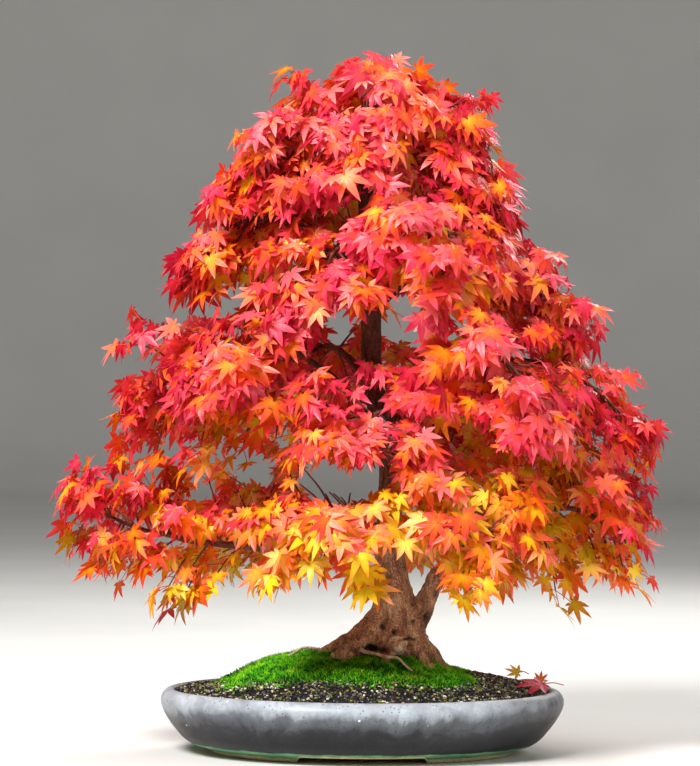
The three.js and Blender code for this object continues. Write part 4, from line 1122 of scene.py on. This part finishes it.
foliage = {
    # gaps seen from the front: x, z, half width and half height, and how far back they reach
    "gaps": [(-26, 268, 50, 29, 400), (-24, 426, 24, 26, 400), (-106, 272, 24, 15, 400),
             (-157, 259, 17, 15, 400), (52, 176, 30, 30, 20), (24, 296, 16, 34, 0),
             (7, 420, 15, 34, 0), (15, 200, 12, 14, 0)],
    # sprays that stray from the rest: start, arch and end
    "strays": {"middle_05": [((-160, 24, 386), (-190, 5, 430), (-220, -10, 428)),
                             ((-184, 22, 380), (-206, 8, 412), (-232, -14, 408)),
                             ((-80, 14, 380), (-84, -14, 350), (-88, -34, 318)),
                             ((-106, 18, 383), (-112, -4, 352), (-120, -20, 308)),
                             ((-150, 24, 386), (-158, 6, 350), (-162, -10, 308)),
                             ((-189, 26, 378), (-200, 12, 344), (-206, 0, 304))],
               "middle_03": [((20, -50, 341), (26, -66, 392), (10, -84, 384)),
                             ((20, -54, 342), (44, -70, 380), (44, -90, 366))],
               "upper_03": [((-12, -52, 520), (-24, -84, 576), (-34, -104, 568)),
                            ((-12, -52, 520), (-48, -70, 574), (-68, -84, 564))],
               "upper_04": [((-52, 3, 523), (-48, -30, 574), (-44, -62, 554)),
                            ((-79, 4, 536), (-76, -26, 578), (-74, -58, 550)),
                            ((-106, 5, 538), (-104, -22, 572), (-102, -52, 547))],
               "low_01": [((168, -14, 240), (186, -60, 214), (186, -78, 172))],
               "crown_01": [((-2, -30, 640), (0, -40, 692), (4, -48, 672))],
               "apex_01": [((3, 6, 660), (8, 0, 702), (14, -12, 690))],
               "crown_05": [((-38, -10, 640), (-52, -12, 668), (-68, -14, 672))]},
    "pairs": (0.34, 0.6, 0.82, 1.0),  # where pairs of leaves leave a side shoot
    "twigThick": 1.25, "twigThin": 0.7,  # a side shoot's radius at its foot and tip
    "deepest": 200, "drawIn": 0.45,  # where depth is drawn in, and by what share
    "slots": {"low": "leaf_orange", "middle": "leaf_pink", "upper": "leaf_red", "top": "leaf_red",
              "crown": "leaf_red", "apex": "leaf_red"},
    # how red each tier is, from 0 to 1, and how much redder it gets outwards, over what reach
    "warmth": {"low": 0.29, "middle": 0.67, "upper": 0.66, "top": 0.7, "crown": 0.74,
               "apex": 0.76},
    "outwards": {"low": (0.42, 150, 290), "other": (0.16, 60, 220)},
    # how steeply side shoots rise or hang, in turn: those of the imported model, then two series
    # between them for each tier, which hang more by limp near the branch's end
    "limp": 0.55,
    "packed": (0.5, -0.25, -0.3, 0.3, -0.85, 0.15),
    "rises": {"low": ((1.0, -0.8, 0.5, -1.0, 1.2, -0.5), (1.5, 0.9, 1.7, -0.9, 1.4, 1.1)),
              "middle": ((0.5, -1.2, 0.1, -1.4, -0.8, -0.4), (-1.3, -1.5, -0.9, -1.6, 0.9, -1.4)),
              "upper": ((0.3, -1.2, 0.0, -1.3, -0.7, -0.3), (-1.2, -1.4, 0.7, -1.5, -1.0, -1.3)),
              "top": ((0.1, -1.1, 0.0, -0.9, -0.5, -0.2), (-1.0, -1.4, -0.6, 0.4, -1.2, -0.8)),
              "crown": ((0.1, -0.9, 0.0, -0.7, -0.4, -0.2), (-0.9, -1.2, 0.2, -1.0, -0.6, -0.8)),
              "apex": ((0.3, -0.5, 0.0, -0.9, -0.2, -0.6), (0.1, -0.8, 0.2, -0.6, -1.0, -0.3))},
}


def shootLines(branch):
    # side shoots in three series: where they leave the branch, their arch, their ends
    shoots = branch["shoots"]
    k = np.arange(shoots * 3)
    whole, series = k // 3, k % 3
    share = lerp(0.36, 0.97, (whole + np.array([0.5, 1.0, 0.75])[series]) / shoots)[:, None]
    seeds = branch["seed"] * 100.0 + whole + series * 5000
    start = bezier(*branch["points"], share)
    ahead = bezierAhead(*branch["points"], share)
    hand = np.array([1, -1, -1, 1])[(whole + np.array([0, 2, 1])[series]) % 4]
    across = unit(np.cross([0, 0, 1.0], ahead)) * hand[:, None]
    rises = np.array((foliage["packed"],) + foliage["rises"][branch["tier"]])
    rise = (rises[series, whole % 6] + 0.15 * swing(seeds, 31))[:, None]
    rise = rise - foliage["limp"] * smoothStep(share, 0.5, 0.95) * (series > 0)[:, None]
    line = unit(across * (0.86 + 0.2 * swing(seeds, 32))[:, None] + ahead * 0.55
                + rise * np.array([0, 0, 1.0]))
    swell = np.sin(math.pi * np.minimum(1, 0.3 + 0.75 * (whole / shoots)))
    length = branch["shootLength"] * (0.62 + 0.38 * swell) * (1 + 0.15 * swing(seeds, 33))
    length = (length * np.where(series > 0, lerp(0.7, 1.1, draw(seeds, 34)), 1))[:, None]
    end = start + line * length
    return start, (start + end) / 2 + length * [0, 0, 0.12], end, seeds


def inGap(points):
    # whether a point is seen from the front, scaled by its distance, within one of the gaps
    aim, distance = studio["centre"], studio["distance"]
    scale = distance / (distance + points[:, 1])
    x, z = aim[0] + (points[:, 0] - aim[0]) * scale, aim[2] + (points[:, 2] - aim[2]) * scale
    inside = np.full(len(points), False)
    for gapX, gapZ, wide, tall, back in foliage["gaps"]:
        inside |= (((x - gapX) / wide) ** 2 + ((z - gapZ) / tall) ** 2 < 1) & (points[:, 1] < back)
    return inside


def drawIn(points):
    # depth past a set reach is shortened by a share: the tips stay close to the solids' box
    past = np.maximum(np.abs(points[:, 1]) - foliage["deepest"], 0)
    points[:, 1] -= np.sign(points[:, 1]) * past * foliage["drawIn"]


def anchorLeaves(paths, seeds):
    # leaves in pairs along every shoot, and one at its tip: where, which way the shoot goes there,
    # on which hand, and their own seeds
    pairs = len(foliage["pairs"])
    anchors, aheads, hands, leafSeeds = [], [], [], []
    for number, spot in enumerate(foliage["pairs"] + (1.0,)):
        at = spot * (paths.shape[1] - 1)
        low = min(int(at), paths.shape[1] - 2)
        last = number == pairs
        for hand in ((0.15,) if last else (1, -1)):
            anchors.append(lerp(paths[:, low], paths[:, low + 1], at - low))
            aheads.append(unit(paths[:, low + 1] - paths[:, low]))
            hands.append(np.full(len(seeds), hand))
            own = (1 if hand > 0 else 2) + (number + 1) % pairs * 3 + last * 20
            leafSeeds.append(seeds * 10 + own)
    return [np.concatenate(rows) for rows in (anchors, aheads, hands, leafSeeds)]


def leafTints(branch, base, seeds):
    # how red each leaf is: its tier, how high in its spray and how far out it hangs, and patches
    spine = bezier(*branch["points"], np.linspace(0.3, 1, 20)[:, None])
    gap = np.linalg.norm(base[:, None, :2] - spine[None, :, :2], axis=-1)
    over = (base[:, 2] - spine[np.argmin(gap, axis=1), 2]) / 40
    tint = foliage["warmth"][branch["tier"]] + 0.12 * np.clip(over, -1.4, 1.4)
    tint += 0.24 * noise(base, 62, 51) + 0.24 * noise(base, 24, 52) + 0.32 * swing(seeds, 53)
    reach = np.linalg.norm(base[:, :2], axis=-1)
    redder, near, far = foliage["outwards"]["low" if branch["tier"] == "low" else "other"]
    tint += redder * smoothStep(reach, near, far) - 0.08
    return np.clip(tint, 0.02, 0.98)


def growBranch(branch, paints):
    # the limb past its stub, its side shoots, and the leaves and stalks on them
    start, control, end, seeds = shootLines(branch)
    # the branch's own last twig bears leaves too, and some branches have straying sprays
    tail = np.array([[bezier(*branch["points"], s) for s in (0.82, 0.92, 1.0)]])
    strays = np.array(foliage["strays"].get(branch["name"], ()), float).reshape(-1, 3, 3)
    extra = np.concatenate([tail, strays])
    start, control, end = (np.vstack([rows, extra[:, k]])
                           for k, rows in enumerate((start, control, end)))
    seeds = np.append(seeds, branch["seed"] * 100.0 + 50 + np.arange(len(extra)))
    # shoots that would reach into a gap are short
    reach = np.where(inGap(end), 0.5, 1)[:, None]
    control, end = start + (control - start) * reach, start + (end - start) * reach
    along = np.linspace(0, 1, 8)[None, :, None]
    paths = bezier(start[:, None], control[:, None], end[:, None], along)
    wander = np.stack([noise(paths + branch["seed"] * 13, 17, k) for k in range(3)], axis=-1)
    paths = paths + wander * 2.2 * along
    girths = lerp(foliage["twigThick"], foliage["twigThin"], along[..., 0])
    limb, limbShare = branchPath(branch, stubShare, 1.0, 26)
    forms = [tubes(paths, np.broadcast_to(girths, paths.shape[:2]), 5, paint=1),
             tubes(limb[None], branchRadius(branch, limbShare)[None], 9, paint=1)]

    anchor, ahead, hand, seeds = anchorLeaves(paths, seeds)
    base, face, pointing, size = leafPlaces(anchor, ahead, hand, seeds)
    kept = ~inGap(base + pointing * size[:, None] * 0.45)
    anchor, base, face, pointing = anchor[kept], base[kept], face[kept], pointing[kept]
    seeds, size = seeds[kept], size[kept]
    forms.append(blades(base, pointing, face, size, seeds, leafTints(branch, base, seeds)))
    joint = anchor + (base - anchor) * 0.5 + np.array([0, 0, 1.2])
    stalks = bezier(anchor[:, None], joint[:, None], base[:, None],
                    np.linspace(0, 1, 4)[None, :, None])
    forms.append(tubes(stalks, np.full(stalks.shape[:2], leaf["stalkGirth"]), 3, paint=2))
    for form in forms:
        drawIn(form["points"])
    slot = foliage["slots"][branch["tier"]]
    piece = newPiece("leaves_" + branch["name"], forms,
                     [paints[slot], paints["twig"], paints["stalk"]])
    settle(piece, slot, "foliage_" + branch["name"])
    return len(base)


def buildFoliage():
    # one piece for each branch, all with the same twig and stalk materials
    paints = {
        "leaf_orange": leafMaterial("autumnLeafOrange"),
        "leaf_pink": leafMaterial("autumnLeafPink"),
        "leaf_red": leafMaterial("autumnLeafRed"),
        "twig": twigMaterial("youngTwig", "#4a1f16", "#8a4a35"),
        "stalk": twigMaterial("leafStalk", "#a3202a", "#d8513f"),
    }
    total = sum(growBranch(branch, paints) for branch in branches)
    print("leaves hung,", total)
    return paints


# the three leaves that lie on the grit and the lip
fallen = {
    # place on the ground, heading, size, tint, how much the tip stands up, how much the leaf leans
    # towards the viewer, seed, slot
    "red": ((178, -34), 195, 30, 1.0, 0.1, 0.42, 900, "leaf_red"),
    "orange": ((178, -2), 80, 12, 0.42, 0.6, 1.3, 901, "leaf_orange"),
    "yellow": ((158, 40), 172, 15, 0.02, 0.2, 0.95, 902, "leaf_yellow"),
}


def buildFallen(paints):
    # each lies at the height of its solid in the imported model, or on the ground if that is higher
    paints["leaf_yellow"] = leafMaterial("autumnLeafYellow")
    for name, (at, heading, size, tint, lift, lean, seed, slot) in fallen.items():
        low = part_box("fallen_leaf_" + name)[0]
        out = np.array([math.cos(heading * degrees), math.sin(heading * degrees), 0])
        side = np.cross([0, 0, 1.0], out)
        face = unit(np.cross(unit(out + [0, 0, lift]), side) + [0, -lean, 0])
        ahead = unit(out + np.array([0, 0, lift]))
        ahead = unit(ahead - face * (ahead @ face))
        height = max((low.z - potMiddle[2]) * 1000, groundHeight(*map(float, at)))
        base = np.array([at[0], at[1], height + 2.5 + size * 0.15 * lean])
        blade = blades(base[None], ahead[None], face[None], np.array([float(size)]),
                       np.array([float(seed)]), np.array([tint]), 0.5)
        stalk = np.stack([base, base - out * size * 0.4 + [0, 0, 1.0],
                          base - out * size * 0.75 - [0, 0, 1.5]])
        path = throughPoints(stalk, 8)
        forms = [blade, tubes(path[None], np.full((1, 8), 0.5), 5, paint=1)]
        piece = newPiece("fallenLeaf_" + name, forms, [paints[slot], paints["stalk"]])
        settle(piece, slot, "fallen_leaf_" + name)
    print("fallen leaves laid")


# the studio: camera, floor and soft lights
studio = {
    # the camera: what it looks at, how far off it is, degrees above the level, roll, lens
    "centre": (-14.5, 0, 372.6), "distance": 3300, "elevation": 0.5, "roll": -0.4, "lens": 155.1,
    # the floor, in metres: how far it's flat, the radius of its bend, the backdrop's top, steps
    # round it and how far it lies under the feet
    "flat": 5.8, "bend": 1.4, "tall": 4.5, "around": 96, "under": 0.0004,
    "floorTones": [(0.3, "#d6d4cf"), (0.7, "#dcdad5")],
    # soft lights, in metres: where each is, the height it aims at, its size and its power
    "lights": {"key": ((-1.1, -1.9, 2.3), 0.35, 1.1, 158),
               "fill": ((1.9, -1.5, 1.2), 0.3, 1.6, 16),
               "above": ((0.2, 0.5, 2.6), 0.4, 1.4, 40),
               "behind": ((0.9, 1.9, 1.5), 0.35, 1.2, 22)},
    "room": (0.86, 0.88, 0.92, 1), "roomStrength": 0.16,
}


def addSoftbox(name, at, aim, size, power):
    # a disk of light, turned so that its face looks at its aim
    data = bpy.data.lights.new(name, "AREA")
    data.shape, data.size, data.energy = "DISK", size, power
    lamp = bpy.data.objects.new(name, data)
    lamp.location = at
    away = np.array(at) - np.array(aim)
    tip = math.acos(away[2] / np.linalg.norm(away))
    lamp.rotation_euler = (tip, 0, math.atan2(away[1], away[0]) + math.pi / 2)
    bpy.context.scene.collection.objects.link(lamp)


def addCamera():
    # level with the photograph's view, its frame 700 mm wide at the trunk
    centre = intoFrame(np.array(studio["centre"], float))
    tilt = studio["elevation"] * degrees
    away = np.array([0, -math.cos(tilt), math.sin(tilt)])
    data = bpy.data.cameras.new("viewer")
    data.sensor_width, data.lens = 36, studio["lens"]
    camera = bpy.data.objects.new("viewer", data)
    camera.location = centre + studio["distance"] / 1000 * away
    camera.rotation_euler = (math.pi / 2 - tilt, studio["roll"] * degrees, 0)
    bpy.context.scene.collection.objects.link(camera)
    bpy.context.scene.camera = camera


def addFloor():
    # a profile swept round: flat, then a quarter circle, reach + bend sin(turn) and
    # bend (1 - cos(turn)) high, then the upright backdrop
    bend, flat, around = studio["bend"], studio["flat"], studio["around"]
    turn = np.linspace(0, math.pi / 2, 16)[1:]
    reach = np.concatenate([[0.01, flat], flat + bend * np.sin(turn), [flat + bend]])[:, None]
    height = np.concatenate([[0, 0], bend * (1 - np.cos(turn)), [studio["tall"]]])[:, None]
    angle = np.arange(around) / around * 2 * math.pi
    rows = np.stack(np.broadcast_arrays(reach * np.cos(angle), reach * np.sin(angle),
                                        height - studio["under"]), axis=-1)
    numbers = np.arange(rows.shape[0] * around).reshape(-1, around)
    turned = np.roll(numbers, -1, axis=1)
    quads = np.stack([numbers[:-1], numbers[1:], turned[1:], turned[:-1]], axis=-1)
    faces = [quads.reshape(-1, 4), numbers[:1]]
    points = (rows.reshape(-1, 3) - potMiddle) * 1000
    floor = newPiece("paleFloor", [{"points": points, "faces": faces}])
    material, tree, shader = newMaterial("paleBackdrop", Specular_IOR_Level=0.2, Roughness=0.85)
    tone = ramp(tree, grain(tree, objectPlace(tree), 3, 2), studio["floorTones"])
    tree.links.new(tone, shader.inputs["Base Color"])
    floor.data.materials.append(material)


def buildStudio():
    # the camera, the floor and the lights, and a weak even light from all round
    addCamera()
    addFloor()
    for name, (at, aimHeight, size, power) in studio["lights"].items():
        addSoftbox(name, at, (0, 0, aimHeight), size, power)
    world = bpy.data.worlds.new("softRoom")
    world.use_nodes = True
    background = world.node_tree.nodes["Background"].inputs
    background["Color"].default_value = studio["room"]
    background["Strength"].default_value = studio["roomStrength"]
    bpy.context.scene.world = world
    bpy.context.scene.view_settings.view_transform = "Standard"
    print("studio lit")


buildStudio()
buildPot()
buildScreens()
buildSoil()
buildMoss()
buildWood()
buildFallen(buildFoliage())

# every new shape is in place: both boxes are kept
bpy.context.view_layer.update()
